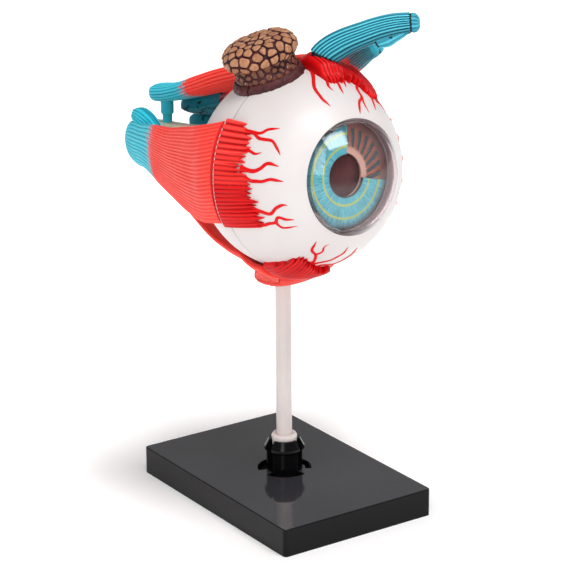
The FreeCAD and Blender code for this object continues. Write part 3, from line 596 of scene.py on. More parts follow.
# Each palette is the plain colour, the deep one painted into the grooves as shade and the light one painted
# onto the crests as highlight.
RED = palette((255, 56, 44), (206, 16, 20), (255, 92, 80))
TEAL = palette((42, 198, 222), (12, 86, 106), (84, 206, 222))
CORAL = palette((242, 76, 70), (200, 34, 34), (255, 128, 116))
REAR_TEAL = palette((30, 130, 150), (4, 26, 34), (70, 184, 204))
BLOOD = palette((214, 8, 14), (136, 4, 10), (234, 34, 34))
# The red that the flush pads take towards their tops is painted light falling from above.
BLOOD_LIT_ABOVE = palette((246, 46, 42), (164, 6, 12), (254, 84, 76))
TENDON_TEAL = palette((22, 138, 164), (3, 30, 38), (100, 216, 234))

looks = {paint.name: paint.material for paint in (
    painted("muscle_red", RED, TEAL),
    painted("muscle_coral", CORAL, TEAL),
    painted("muscle_rear", RED, REAR_TEAL, spread=0.8, cracks=0.95),
    painted("tendon_red", BLOOD, BLOOD_LIT_ABOVE, gloss=0.36, spread=0.16, coat=0.08),
    painted("tendon_teal", BLOOD, TENDON_TEAL, gloss=0.36, shine=0.3, coat=0.1),
    white_shell(),
    rod_white(),
    stand_black("stand_black", gloss=0.065, edge=0.0003, dust_and_lit_top=1.0),
    stand_black("claw_black", gloss=0.14, edge=0.0002, dust_and_lit_top=0.0),
    gland_skin(),
    gland_foot(),
    nerve_cream(),
    vessel_red(),
    iris_blue(),
    ciliary_stripes(),
    vessel_lined("choroid_brown", (92, 42, 30), (122, 60, 42), (58, 14, 16), 90.0),
    vessel_lined("retina_orange", (214, 96, 52), (232, 122, 72), (168, 28, 24), 70.0),
    clear("clear_vitreous", (0.97, 0.985, 0.99), 0.02, 1.36),
    # The lens is tinted near-opaque dark maroon as painted shade, standing in for the dark inside of the eye
    # seen through the pupil.
    clear("clear_lens", (0.075, 0.009, 0.011), 0.2, 1.4, passing=0.1, shine=0.15),
    clear("clear_cornea", (0.99, 0.992, 0.995), 0.005, 1.12, milky_and_painted_rim=0.85, glaze=0.62))}


# ------------------------------------------------------------------ ribbed straps
def rib_field(across, along, count, seed, wander=0.3):
    """Height 0 to 1 of rounded ribs with sharp grooves, and how deep in a groove a point lies."""
    phase = across * count / 2.0 + noise(along / 30.0, across * 1.3, 0.0, seed) * wander
    wave = np.abs(np.sin(math.pi * phase))
    height = wave ** 0.75 * (0.75 + 0.35 * chance(np.floor(phase), seed + 11))
    groove = (1.0 - wave) ** 2.2 * (0.5 + 0.5 * chance(np.round(phase), seed + 13))
    return height, groove


def fine_ribs(across, along, count, seed):
    """Narrow raised lines with wide shallow valleys between them."""
    phase = across * count / 2.0 + noise(along / 30.0, across * 1.3, 0.0, seed) * 0.3
    index = np.round(phase)
    away = np.abs(phase - index)
    height = bell(away, 0.22) * (0.8 + 0.3 * chance(index, seed + 11))
    groove = smooth_step(0.28, 0.5, away) * (0.2 + 0.25 * chance(index, seed + 13))
    return height, groove


def crest_of(height):
    return smooth_step(0.78, 1.02, height)


def squared(share, power=SQUARENESS):
    """Half thickness of a rounded square section across its width."""
    return (1 - np.abs(share) ** power) ** (1 / power)


def section(outer, inner, power=SQUARENESS):
    """Round a strap's section: the share of its width, the face (1 outer, -1 inner) and the height."""
    shares = (np.linspace(-1, 1, outer), np.linspace(1, -1, inner + 2)[1:-1])
    share = np.sin(np.concatenate(shares) * math.pi / 2)
    face = np.concatenate((np.ones(outer), -np.ones(inner)))
    return share, face, squared(share, power) * face


def rounded_run(start, end, start_round, end_round, body, count):
    """Rows from start to end: their places, their share of the full section and their end's rounding."""
    bend = np.linspace(0, math.pi / 2, count)
    way = 1 if end > start else -1
    first = (start + way * start_round * (1 - np.sin(bend)))[::-1]
    last = end - way * end_round * (1 - np.sin(bend))
    scale = np.concatenate((np.cos(bend)[::-1], np.ones(len(body)), np.cos(bend)))
    edge = np.concatenate((np.full(count, start_round), np.zeros(len(body)), np.full(count, end_round)))
    return np.concatenate((first, body, last)), scale, edge


def strap_grid(stations, ribs, rib_depth, seed, tint, rows, outer, end_round, inner=56, front_round=0.25,
               bead=0.0, merge=None, wrap=0, inner_shade=0.0):
    """A strap muscle on the same stations as its solid, ribbed on its outer face.

    Stations are (f, angle, half width, radius or "lie" for on the globe, shift, swell). Merge gives fine
    ribs that run together: (f where that starts, f where it ends, ribs there). Wrap is a number of ribs
    round the whole section, and bead is the length of a plain rim at the front.
    """
    f_of, angles, widths, shifts, swells = (
        np.array([s[k] for s in stations], float) for k in (0, 1, 2, 4, 5))
    on_shell = np.array([s[3] == "lie" for s in stations])
    lie = CLEAR + STRAP / 2
    radii = np.array([math.sqrt(lie ** 2 - s[0] ** 2) if s[3] == "lie" else s[3] for s in stations])
    front, rear = f_of[0], f_of[-1]
    body = np.concatenate((np.linspace(front - front_round, front - 3.0, 28)[1:],
                           np.linspace(front - 3.0, rear + end_round, rows)[1:-1]))
    f, scale, edge = rounded_run(front, rear, front_round, end_round, body, 9)
    scale = np.maximum(scale, 0.06)
    angle = np.radians(through(f_of, angles, f))
    bend = through(f_of, np.where(on_shell, radii, radii * 1.6), f)[:, None]
    along_shell = np.sqrt(np.maximum(lie ** 2 - f ** 2, 1.0))
    radius = np.where(f > f_of[on_shell].min(), along_shell, through(f_of, radii, f))
    out = xyz(np.sin(angle), 0, np.cos(angle))
    side = xyz(np.cos(angle), 0, -np.sin(angle))
    centre = out * radius[:, None] + side * through(f_of, shifts, f)[:, None] + xyz(0, -f, 0)
    share, face, rise = section(outer, inner)
    width = through(f_of, widths, f) - edge * (1 - scale)
    reach = bend + (STRAP / 2 * through(f_of, swells, f) * scale)[:, None] * rise
    around = width[:, None] * share / bend
    points = (centre[:, None] + side[:, None] * (reach * np.sin(around))[..., None]
              + out[:, None] * (reach * np.cos(around) - bend)[..., None])
    normals = grid_normals(points)

    f, scale = f[:, None], scale[:, None]
    pitch = 2 * width[:, None] / ribs
    ribbed = (face > 0) * 1.0
    if merge:
        starts, ends, fewer = merge
        joined = smooth_step(starts, ends, f)
        height, groove = (blend(fine, coarse, joined) for fine, coarse in zip(
            fine_ribs(share, f, ribs, seed), rib_field(share, f, fewer, seed + 40)))
        # Painted shade darkens the rows towards the front edge, where the strap turns down.
        groove = np.maximum(groove, smooth_step(front - 1.0, front - 0.35, f))
        pitch = blend(pitch, 2 * width[:, None] / fewer, joined)
        crest = smooth_step(0.3, 0.8, height) * 1.3
    elif wrap:
        step = np.linalg.norm(np.diff(points, axis=1, append=points[:, :1]), axis=-1)
        way_round = (np.cumsum(step, axis=1) - step) / np.sum(step, axis=1, keepdims=True)
        height, groove = rib_field(way_round * 2.0, f, wrap, seed, 0.0)
        crest = smooth_step(0.4, 0.9, height) * 1.2
        ribbed = 1.0
    else:
        height, groove = rib_field(share, f, ribs, seed)
        crest = crest_of(height)
    near = smooth_step(front - bead - 0.3, front - bead, f) * (bead > 0)
    fade = ribbed * scale * (1 - near)
    lift = (height - 0.6) * rib_depth * np.clip(pitch / 1.3, 0.3, 1.1) * fade
    if bead:
        # The crease behind the bead is painted dark as shade.
        crease = bell(f - (front - bead - 0.12), 0.14)
        lift = lift + (near * 0.1 * scale - crease * 0.22) * ribbed
        groove = np.maximum(groove * (1 - near), crease * 0.8)
    # The inner face is painted darker as shade; groove and crest paint shade into the grooves and highlights
    # onto the crests.
    groove = np.maximum(groove * ribbed, inner_shade * (face < 0))
    sag = noise(f / 24.0, share * 1.5, 2.0, seed + 5) * 0.15 * fade
    points = pushed_out(points + normals * (lift + sag)[..., None], CLEAR, f > -24)
    return points, dict(groove=groove, tint=smooth_step(*tint, f), crest=crest * ribbed * (1 - near))


def route_grid(route, ribs, rib_depth, seed, rows, outer, inner, ends=(1.2, 1.2), wander=0.3,
               tint=lambda s, total: 1.0):
    """A ribbed strap along a free route of (place, along, outward, half width, half thickness).

    Also gives, for each point, how far along its row lies, with a rounded end counted as its tip, and the
    share and face of its section.
    """
    places, along, outward = (np.array([eye(*r[k]) for r in route]) for k in range(3))
    steps = path_steps(places)
    total = steps[-1]
    body = np.linspace(ends[0], total - ends[1], rows)[1:-1]
    s, scale, edge = rounded_run(0.0, total, *ends, body, 8)
    scale = np.maximum(scale, 0.06)
    along = unit(through(steps, unit(along), s))
    side = unit(np.cross(through(steps, outward, s), along))
    out = unit(np.cross(along, side))
    width = through(steps, [r[3] for r in route], s) - edge * (1 - scale)
    thick = through(steps, [r[4] for r in route], s) * scale
    share, face, rise = section(outer, inner)
    points = (through(steps, places, s)[:, None]
              + side[:, None] * (np.maximum(width, 0.1)[:, None] * share)[..., None]
              + out[:, None] * (thick[:, None] * rise)[..., None])
    run = np.where(edge == 0, s, np.where(s < total / 2, 0.0, total))[:, None]
    s, fade = s[:, None], scale[:, None]
    height, groove = rib_field(share + (face < 0) * 7.0, s, ribs, seed, wander)
    points = points + grid_normals(points) * ((height - 0.6) * rib_depth * fade)[..., None]
    # Groove paints shade into the rib grooves and crest paints highlights onto the ribs.
    paint = dict(groove=groove * fade, tint=tint(s, total), crest=crest_of(height) * fade)
    return points, paint, (run, share, face)


LATERAL_STATIONS = [
    (STRAP_FRONT, -82.6, 16.1, "lie", 0, 1), (-6, -85, 15.8, "lie", 0, 1), (-14, -86.8, 15.1, 30.6, 0, 1),
    (-26, -88, 13.8, 26.9, 0, 1), (-40, -88.5, 11.5, 22.5, 0.3, 1), (-52, -88, 9.7, 18.9, 1.1, 1.05),
    (-61, -88, 8, 16.2, 2, 1.1), (-66, -88, 7.2, 14.7, 2.2, 1.2), (-72, -88, 7.2, 13, 2.2, 1.2),
    (-77, -88, 5.8, 12, 2.6, 1), (-79.6, -88, 3, 12, 2.8, 0.5)]
MEDIAL_STATIONS = [
    (STRAP_FRONT, 96, 15, "lie", 0, 1), (-6, 95, 14.9, "lie", 0, 1), (-14, 94, 14, 30.7, 0, 1),
    (-26, 93, 12.4, 27, 0, 1), (-40, 92, 10, 22.8, -0.5, 1), (-52, 90, 7.6, 19.3, -0.8, 1.1),
    (-62, 90, 6, 16.4, -2.4, 1.3), (-71, 90, 5.6, 13.4, -2.9, 1.5), (-76, 90, 4.6, 12.6, -3, 1)]
SUPERIOR_STATIONS = [
    (STRAP_FRONT, 21.8, 8.4, "lie", 0, 1.1), (-6, 21.8, 8.4, "lie", 0, 1.1), (-14, 20.5, 8.4, 31, 0, 1.1),
    (-26, 17.5, 8, 28.1, 0, 1.8), (-40, 13.6, 7.2, 25.1, 0, 2.15), (-52, 9.5, 6.4, 21.8, 0, 2.15),
    (-62, 6.5, 5.6, 19.1, 0, 2.05), (-69, 4.5, 5.4, 17.9, 0, 2.05), (-75, 3, 4.8, 17.6, 0, 1.8),
    (-78, 3, 2.6, 17.4, 0, 0.9)]
INFERIOR_STATIONS = [
    (STRAP_FRONT - 0.7, 195, 10.6, "lie", 0, 1), (-6, 193.5, 10.6, "lie", 0, 1.05),
    (-13, 192, 10.2, "lie", 0, 1.1), (-25, 190, 9, 28.6, 0, 1.1), (-37, 188.5, 7.8, 25.4, 0, 1.1),
    (-45, 187, 7, 22.2, 0, 1.1), (-52, 186, 6.2, 19.2, 0, 1.1), (-60, 184, 5.6, 15.4, 0, 1.1),
    (-68, 182, 5.2, 12.6, 0, 1.1), (-72, 182, 3.4, 12, 0, 0.7)]
PEG_RADIUS = 1.8
PEG_F = -8.0
LOBE = ((-55.0, 4.0, 1.6, 0.9), (-61.0, 6.6, 2.6, 1.5), (-66.0, 9.4, 3.2, 1.9), (-71.0, 11.2, 3.0, 1.8),
        (-75.0, 12.0, 1.5, 1.0))
LOBE_OUT = 11.4


def lateral_rectus():
    shape = Shape()
    points, paint = strap_grid(LATERAL_STATIONS, 26, 0.26, 4, (-47.0, -64.0), rows=190, outer=460,
                               end_round=2.6, front_round=0.7, merge=(-50.0, -60.0, 13))
    shape.grid(points, **paint)
    angle = math.radians(-88.0)
    out_x, out_u = math.sin(angle), math.cos(angle)
    lobe = [((out_x * LOBE_OUT + out_u * height, f, out_u * LOBE_OUT - out_x * height), (0.1, 1, -0.45),
             (out_x, 0.0, out_u), half, deep) for f, height, half, deep in LOBE]
    points, paint, _ = route_grid(lobe, 6, 0.36, 9, rows=70, outer=110, inner=70, ends=(1.2, 1.3),
                                  tint=lambda s, total: 0.45 + 0.55 * smooth_step(0.0, 7.0, s))
    shape.grid(points, **paint)
    shape.wall_peg(-1)
    shape.finish("lateral_rectus_ribbed", "lateral_rectus_body", "lateral_rectus", "muscle_red")


def medial_rectus():
    shape = Shape()
    points, paint = strap_grid(MEDIAL_STATIONS, 24, 0.26, 21, (-46.0, -62.0), rows=170, outer=420,
                               end_round=2.2, front_round=0.7, merge=(-46.0, -58.0, 11))
    shape.grid(points, **paint)
    shape.wall_peg(1)
    shape.finish("medial_rectus_ribbed", "medial_rectus_body", "medial_rectus", "muscle_rear")


def superior_rectus():
    shape = Shape()
    points, paint = strap_grid(SUPERIOR_STATIONS, 11, 0.5, 33, (-49.0, -64.0), rows=170, outer=260,
                               inner=160, end_round=2.4, front_round=0.6, wrap=28, inner_shade=0.1)
    shape.grid(points, **paint)
    down = np.array((0, math.sin(EYE_TILT), -math.cos(EYE_TILT)))
    shape.peg(eye(0.0, -70.2, 18.0), down, 12.6, 1.6, 1.0, collar=(2.16, 7.2))
    shape.finish("superior_rectus_ribbed", "superior_rectus_body", "superior_rectus", "muscle_red")


SOCKET_RADIUS = 4.3


def round_the_socket(points):
    """Moves points that lie within the socket's clearance out to its wall."""
    up = np.array((0.0, -math.sin(EYE_TILT), math.cos(EYE_TILT)))
    foot = np.array((0.0, EYE_AHEAD * math.cos(EYE_TILT), EYE_AHEAD * math.sin(EYE_TILT)))
    from_rod = points - foot
    sideways = from_rod - (from_rod @ up)[..., None] * up
    reach = np.linalg.norm(sideways, axis=-1, keepdims=True)
    wall = SOCKET_RADIUS + LIE + 0.02
    return points + sideways / np.maximum(reach, 1e-6) * np.maximum(wall - reach, 0.0)


def inferior_rectus():
    shape = Shape()
    points, paint = strap_grid(INFERIOR_STATIONS, 13, 0.34, 45, (-48.0, -62.0), rows=170, outer=260,
                               inner=60, bead=0.8, end_round=2.0, inner_shade=0.45)
    shape.grid(round_the_socket(points), **paint)
    shape.finish("inferior_rectus_ribbed", "inferior_rectus_body", "inferior_rectus", "muscle_red")


HIGH = (0.77, 0, 0.64)
LOW = (0.34, 0, 0.94)
POST_PLACE = (28.4, -9.0, 27.4)
BELLY_ROUTE = [
    ((21.4, 15.5, 36.3), (0, 1, 0), HIGH, 2.9, 2.3), ((22.8, 9.0, 34.2), (-0.4, 1, 0.35), HIGH, 3.0, 2.4),
    ((25.6, 2.0, 31.4), (-0.35, 1, 0.4), HIGH, 3.2, 2.5), (POST_PLACE, (-0.2, 1, 0.4), HIGH, 4.0, 2.5),
    ((27.4, -20.0, 24.0), (0.25, 1, 0.35), HIGH, 4.6, 2.8),
    ((22.6, -32.0, 20.4), (0.4, 1, 0.3), HIGH, 4.8, 2.8),
    ((16.8, -44.0, 17.0), (0.45, 1, 0.3), LOW, 4.8, 2.6),
    ((12.0, -56.0, 13.9), (0.3, 1, 0.25), LOW, 5.0, 2.4),
    ((9.8, -65.0, 12.2), (0.15, 1, 0.12), LOW, 4.8, 2.6), ((9.2, -71.0, 11.8), (0, 1, 0), LOW, 4.2, 2.3)]


def superior_oblique_belly():
    """The belly from the pulley to the rear, with plain blue ends and its peg into the shell."""
    def tint(s, total):
        return np.maximum(1 - smooth_step(12.0, 26.0, s), smooth_step(total - 26.0, total - 15.0, s))

    points, paint, (run, share, face) = route_grid(BELLY_ROUTE, 9, 0.34, 57, 200, 150, 110, tint=tint)
    # Towards the tip the crest colour is raised as painted light where the tip lies in the tendon's shadow,
    # and the edges of the inner face are painted dark as shadow in the gaps beside the tendon.
    near_tip = smooth_step(26.0, 16.0, run)
    border = smooth_step(0.8, 0.97, np.abs(share)) * (face < 0)
    paint["groove"] = np.maximum(paint["groove"] * 0.4, border * near_tip)
    paint["crest"] = paint["crest"] * (0.4 + 0.6 * near_tip) + 1.5 * near_tip
    shape = Shape()
    shape.grid(points, clean=near_tip, **paint)
    post = eye(*POST_PLACE)
    shape.peg(post, -unit(post), np.linalg.norm(post) - SHELL_INSIDE - LIE, PEG_RADIUS)
    shape.finish("superior_oblique_ribbed", "superior_oblique_body", "superior_oblique_belly", "muscle_rear")


TENDON_FACE = (-0.707, 0.707, 0)
TENDON_FOOT = ((5.3, 9.3, 35.1), (0.3, 0.3, 0.9))
LEVEL = (0.7, 0.7, 0.0)
UPWARD = (0.3, 0.3, 0.9)
TENDON_ROUTE = [
    (*TENDON_FOOT, 4.6, 2.4), ((6.2, 10.2, 36.2), (0.44, 0.44, 0.78), 4.5, 2.5),
    ((7.8, 11.8, 37.6), (0.55, 0.55, 0.62), 4.4, 2.5), ((10.3, 14.3, 39.3), (0.63, 0.63, 0.45), 4.1, 2.5),
    ((13.8, 17.8, 41.0), (0.67, 0.67, 0.3), 3.8, 2.4), ((17.6, 21.6, 42.6), (0.68, 0.68, 0.25), 3.6, 2.3),
    ((21.4, 25.4, 43.6), (0.69, 0.69, 0.15), 3.4, 2.2), ((24.5, 28.5, 43.9), LEVEL, 3.05, 2.1)]
PLUG_ROUTE = [((4.9, 8.9, 32.6), UPWARD, 4.0, 1.85), ((5.4, 9.4, 35.4), UPWARD, 4.15, 2.0)]
CAP_ROUTE = [((24.72, 28.72, 43.9), LEVEL, 3.0, 2.05), ((25.4, 29.4, 43.85), LEVEL, 2.95, 2.0),
             ((26.5, 30.5, 43.7), LEVEL, 2.2, 1.5)]
JOINT_ROUTE = [((24.2, 28.2, 43.9), LEVEL, 2.85, 1.9), ((24.9, 28.9, 43.9), LEVEL, 2.85, 1.9)]
BLOCK_ROUTE = [
    ((16.6, 20.6, 38.0), (0.6, 0.6, 0.4), 1.2, 1.4), ((18.6, 22.6, 38.9), (0.6, 0.6, 0.45), 2.3, 1.7),
    ((21.2, 25.2, 40.4), (0.6, 0.6, 0.45), 1.9, 1.7), ((23.6, 27.6, 41.8), (0.6, 0.6, 0.4), 1.3, 1.6)]
SUPERIOR_CAP = (22.0, 6.0, 3.7, 36.0)
INFERIOR_CAP = (194.0, 6.0, 2.9, 34.0)


def tendon_grid(route, *numbers, **more):
    """A route_grid on a route whose outward direction is the tendon's flat face."""
    return route_grid([(place, along, TENDON_FACE, *size) for place, along, *size in route], *numbers, **more)


def superior_oblique_tendon():
    """The ribbed strap from the globe to the pulley, on its plug, which is painted dark as the shadow under
    its foot.
    """
    points, paint, (_, share, _) = tendon_grid(TENDON_ROUTE, 9, 0.46, 63, 150, 220, 140, (0.45, 0.5), 0.5)
    # The lower side is painted darker in its grooves and duller on its crests, as shade.
    shaded_low_side = smooth_step(-0.1, 0.95, -share)
    paint["groove"] = np.clip(np.sqrt(paint["groove"]) * (0.6 + 0.38 * shaded_low_side) + 0.26 * shaded_low_side, 0, 1)
    paint["crest"] = paint["crest"] * (1.7 - 0.9 * shaded_low_side)
    shape = Shape()
    shape.grid(points, **paint)
    points, paint, _ = tendon_grid(PLUG_ROUTE, 9, 0.1, 64, 24, 90, 70, (0.2, 0.2))
    # The plug is painted all dark as the shadow under the tendon's foot.
    paint["groove"] = 1.0
    shape.grid(pushed_out(points, GLOBE + cap_height(unit(points), *SUPERIOR_CAP)), **paint)
    shape.finish("superior_oblique_tendon_ribbed", "pulley_tendon", "superior_oblique_tendon", "tendon_teal")


def trochlea():
    """The pulley: a rounded cap, the joint behind it painted dark as the shadow in the gap, and the block
    under the tendon.
    """
    shape = Shape()
    points, paint, _ = tendon_grid(CAP_ROUTE, 5, 0.14, 71, 40, 90, 70, (0.15, 1.3))
    shape.grid(points, **paint)
    points, paint, _ = tendon_grid(JOINT_ROUTE, 5, 0.05, 72, 12, 70, 50, (0.1, 0.1))
    # The joint is painted all dark as the shadow between the cap and the tendon.
    paint["groove"] = 1.0
    shape.grid(points, **paint)
    points, paint, (run, share, face) = tendon_grid(BLOCK_ROUTE, 3, 0.15, 75, 50, 70, 50, (0.6, 0.6))
    # The block's near end is painted dark as shadow in the gap by the belly's tip, and a small hole is
    # painted in as a dark spot of shade.
    cut = smooth_step(1.0, 0.5, run)
    hole = smooth_step(0.3, 0.6, bell(run - 5.4, 0.55) * bell(share - 0.15, 0.3) * (face > 0))
    paint["groove"] = np.clip(np.maximum(paint["groove"] * 0.6, cut) + hole, 0, 1)
    shape.grid(points, **paint)
    shape.finish("trochlea_pulley", "pulley_tendon", "trochlea", "tendon_teal")


OBLIQUE_HALF = 2.5
OBLIQUE_WIDTH = 14.2
OBLIQUE_F = -13.2
OBLIQUE_CUT = 0.7
OBLIQUE_TIP = 2.5
OBLIQUE_POWER = 1 / 0.35
OBLIQUE_STATIONS = np.array([(-8.5, 1.0, 1.0), (4.0, 1.0, 1.0), (16.0, 0.94, 0.96), (27.0, 0.74, 0.84),
                             (34.0, 0.45, 0.6)])
DOT_PITCH = 1.2


def inferior_oblique():
    """The strap under the globe, cut square at its temple end, with a dotted cut face."""
    lie = CLEAR + STRAP * 1.1 + 1.1 + OBLIQUE_HALF
    angles, widths, halves = OBLIQUE_STATIONS.T
    body = np.linspace(angles[0] + OBLIQUE_CUT, angles[-1] - OBLIQUE_TIP, 110)[1:-1]
    angle, scale, edge = rounded_run(angles[0], angles[-1], OBLIQUE_CUT, OBLIQUE_TIP, body, 8)
    scale = np.where(edge == OBLIQUE_CUT, blend(1.0, scale, 0.35), scale)
    width = through(angles, widths, angle) * OBLIQUE_WIDTH / 2 - 0.6 * (1 - np.maximum(scale, 0.0)) * 1.6
    half = through(angles, halves, angle) * OBLIQUE_HALF * scale
    about = np.radians(180.0 - angle)
    out = xyz(np.sin(about), 0, np.cos(about))
    centre = out * math.sqrt(lie ** 2 - OBLIQUE_F ** 2) + xyz(0, -(OBLIQUE_F + angle * 0.1), 0)
    share, face, rise = section(200, 120, OBLIQUE_POWER)
    points = (centre[:, None] + (np.maximum(width, 0.2)[:, None] * share)[..., None] * eye(0, 1, 0)
              + out[:, None] * (half[:, None] * rise)[..., None])
    height, groove = rib_field(share + (face < 0) * 5.0, angle[:, None] * 0.6, 13, 83)
    fade = np.clip(scale, 0, 1)[:, None]
    points = points + grid_normals(points) * ((height - 0.55) * 0.36 * fade)[..., None]
    shape = Shape()
    # Groove and crest paint shade into the rib grooves and highlights onto the ribs.
    shape.grid(points, groove=groove * fade, tint=0.0, crest=crest_of(height) * fade)

    rim = points[0]
    middle = rim.mean(axis=0)
    inward = np.concatenate((np.linspace(1.0, 0.9, 6), np.linspace(0.88, 0.02, 60)))[:, None]
    local = (rim - middle)[None] * inward[..., None]
    inside = smooth_step(0.88, 0.8, inward)
    rate = TURN / DOT_PITCH
    dots = smooth_step(0.1, 0.7, np.sin(local[..., 1] * rate) * np.sin(local @ out[0] * rate)) * inside
    bulge = 0.03 + smooth_step(1.0, 0.9, inward) * 0.12 * (1 - inside) - dots * 0.12
    disc = middle + local + unit(np.cross((0.0, 1.0, 0.0), out[0])) * bulge[..., None]
    rim_line = smooth_step(0.86, 0.98, inward)
    # The cut face takes the light colour all over, with its dots and rim line in the deep colour.
    shape.grid(disc, caps=False, groove=np.maximum(dots * 0.95, rim_line), tint=0.0,
               crest=1.7 * (1 - rim_line))
    shape.finish("inferior_oblique_ribbed", "inferior_oblique_body", "inferior_oblique", "muscle_coral")


# ------------------------------------------------------------------ tendon pads and veins
def cap_height(points, position, lift, thickness, spread):
    """How far a shallow cap, centred at two angles, stands off the globe in the direction of each point."""
    around, turn = math.radians(position), math.radians(lift)
    level = math.cos(turn)
    direction = np.array((math.sin(around) * level, -math.sin(turn), math.cos(around) * level))
    top = GLOBE + thickness
    shift = (top ** 2 - GLOBE ** 2) / (2 * (top - GLOBE * math.cos(math.radians(spread))))
    cosine = np.clip(points @ direction, -1, 1)
    return shift * cosine + np.sqrt((top - shift) ** 2 - shift ** 2 * (1 - cosine ** 2)) - GLOBE


def flush_height(share):
    """How far a strap's outer face stands off the globe across its width."""
    return LIE + STRAP / 2 * (1 + squared(share))


def on_globe(f, across, side):
    """Places on the globe by f and, on its right or left, their height, or else their x."""
    sign = 1 if side in ("right", "top") else -1
    rest = sign * np.sqrt(np.maximum(GLOBE ** 2 - f ** 2 - across ** 2, 1.0))
    return xyz(rest, -f, across) if side in ("left", "right") else xyz(across, -f, rest)


def rounded_edge(depth):
    """From 0 at the edge to 1 at full depth, as a quarter circle."""
    return np.sqrt(1 - (1 - np.clip(depth, 0, 1)) ** 2)


def skirted(points):
    """Adds a border just under the globe's face so that a patch has no open rim."""
    framed = np.pad(points, ((1, 1), (1, 1), (0, 0)), mode="edge")
    framed = framed * ((GLOBE - 0.25) / np.linalg.norm(framed, axis=-1))[..., None]
    framed[1:-1, 1:-1] = points
    return framed


def pad(name, side, edge, low, high, ribs, seed, relief, cap=None, ragged=1.2, gather=0.0, graded=0.0,
        low_taper=0.8):
    """A finely ribbed patch on the globe from the seam to a ragged, toothed front edge.

    Edge is the front edge as (place across, f). A pad without a cap is flush with the strap behind it.
    """
    v = np.linspace(low, high, 440)
    share = (v - low) / (high - low) * 2 - 1
    phase = share * ribs / 2
    index = np.floor(phase)
    inside = phase - index
    lean = 0.3 + 0.4 * chance(index, seed + 6)
    tooth = np.where(inside < lean, inside / lean, (1 - inside) / (1 - lean))
    depth = (0.9 + 1.5 * chance(index, seed + 8)) * ragged
    front = np.interp(v, *np.array(edge).T) + (chance(index, seed + 2) - 0.35) * ragged * 1.9
    front = front - (1 - tooth ** 0.8) * depth + noise(v * 2.3, 0.0, 0.0, seed + 9) * 0.22
    back = SEAM + (0.08 if cap else 0.17)
    step = np.linspace(0, 1, 120)[:, None] ** 0.9
    f = back + (front - back) * step
    height = rib_field(share + gather * (1 - share ** 2), f, ribs, seed, 0.1)[0]
    spot = unit(on_globe(f, v, side))
    if cap:
        thick = np.maximum(cap_height(spot, *cap), 0.35)
    else:
        thick = blend(flush_height(share), 0.6, step ** 1.15)
    if side == "top":
        foot, along = eye(*TENDON_FOOT[0]), unit(eye(*TENDON_FOOT[1]))
        limit = (foot @ along - 0.4) / (spot @ along) - GLOBE
        near = smooth_step(8.0, 4.4, np.linalg.norm(spot * (GLOBE + 4.0) - foot, axis=-1))
        thick = blend(thick, np.minimum(limit, thick + 1.9), near)
    edge_round = (rounded_edge((front - f) / 0.6) * (0.5 + 0.5 * rounded_edge((f - back) / 0.2))
                  * rounded_edge(np.minimum((v - low) / low_taper, (high - v) / 0.8)))
    bulge = (thick + (height - 0.6) * relief * (0.9 + graded * share)) * edge_round
    points = skirted(spot * (GLOBE + bulge - 0.12 * (edge_round < 0.02))[..., None])
    # Groove paints shade into the rib grooves, crest paints highlights onto the ribs.
    groove = np.clip(smooth_step(0.9, 0.3, height) * (0.66 + 0.5 * graded * share), 0, 1)
    groove = groove * (0.4 + 0.6 * edge_round)
    crest = crest_of(height) * edge_round
    # A flush pad is painted in the lit red towards its top, as the light that falls from above.
    tint = 0.0 if cap else smooth_step(-2.0, 5.0, points[..., 2])
    shape = Shape()
    shape.grid(points, closed=False, groove=np.pad(groove, 1, mode="edge"),
               crest=np.pad(crest, 1, mode="edge"), tint=tint)
    shape.finish(name + "_tendon_ribbed", "front_globe", name + "_tendon", "tendon_red")
    if not cap:
        seam_edge(name + "_tendon_edge", side, low + 0.2, high - 0.2)


def seam_edge(name, side, low, high):
    """Unpainted rim of a pad where the shell parts from the strap behind it."""
    v = np.linspace(low, high, 160)
    share = (v - low) / (high - low) * 2 - 1
    top = flush_height(share) * rounded_edge((1 - np.abs(share)) * 16)
    ahead = np.array((0.08, 0.08, 0.1, 0.2, 0.26))[:, None]
    drop = np.array((0.5, 0.12, 0.1, 0.1, 0.3))[:, None]
    spot = unit(on_globe(SEAM + ahead, v, side))
    shape = Shape()
    shape.grid(spot * (GLOBE + np.maximum(top - drop, -0.2))[..., None], closed=False)
    shape.finish(name, "front_globe", None, "white_shell")


LATERAL_EDGE = [(-12.4, 15), (-8, 15), (-4, 14.2), (2, 13), (4.6, 10.6), (8.4, 10.4), (11, 11.6), (16, 10.8),
                (18.7, 8), (19.6, 3)]
MEDIAL_EDGE = [(-16.2, 12.6), (-8, 14), (0, 12), (8, 13), (12, 10), (14, 8)]
SUPERIOR_EDGE = [(0.2, 10), (1, 15.4), (3, 16), (8.7, 14.6), (12.5, 15.6), (15.5, 18.4), (17.5, 18.4),
                 (20, 14.4), (22, 8)]
INFERIOR_EDGE = [(-18.2, 4), (-17.6, 8), (-14.6, 17.4), (-10.5, 15.6), (-4.4, 12.6), (-1, 13.5), (0.8, 4)]

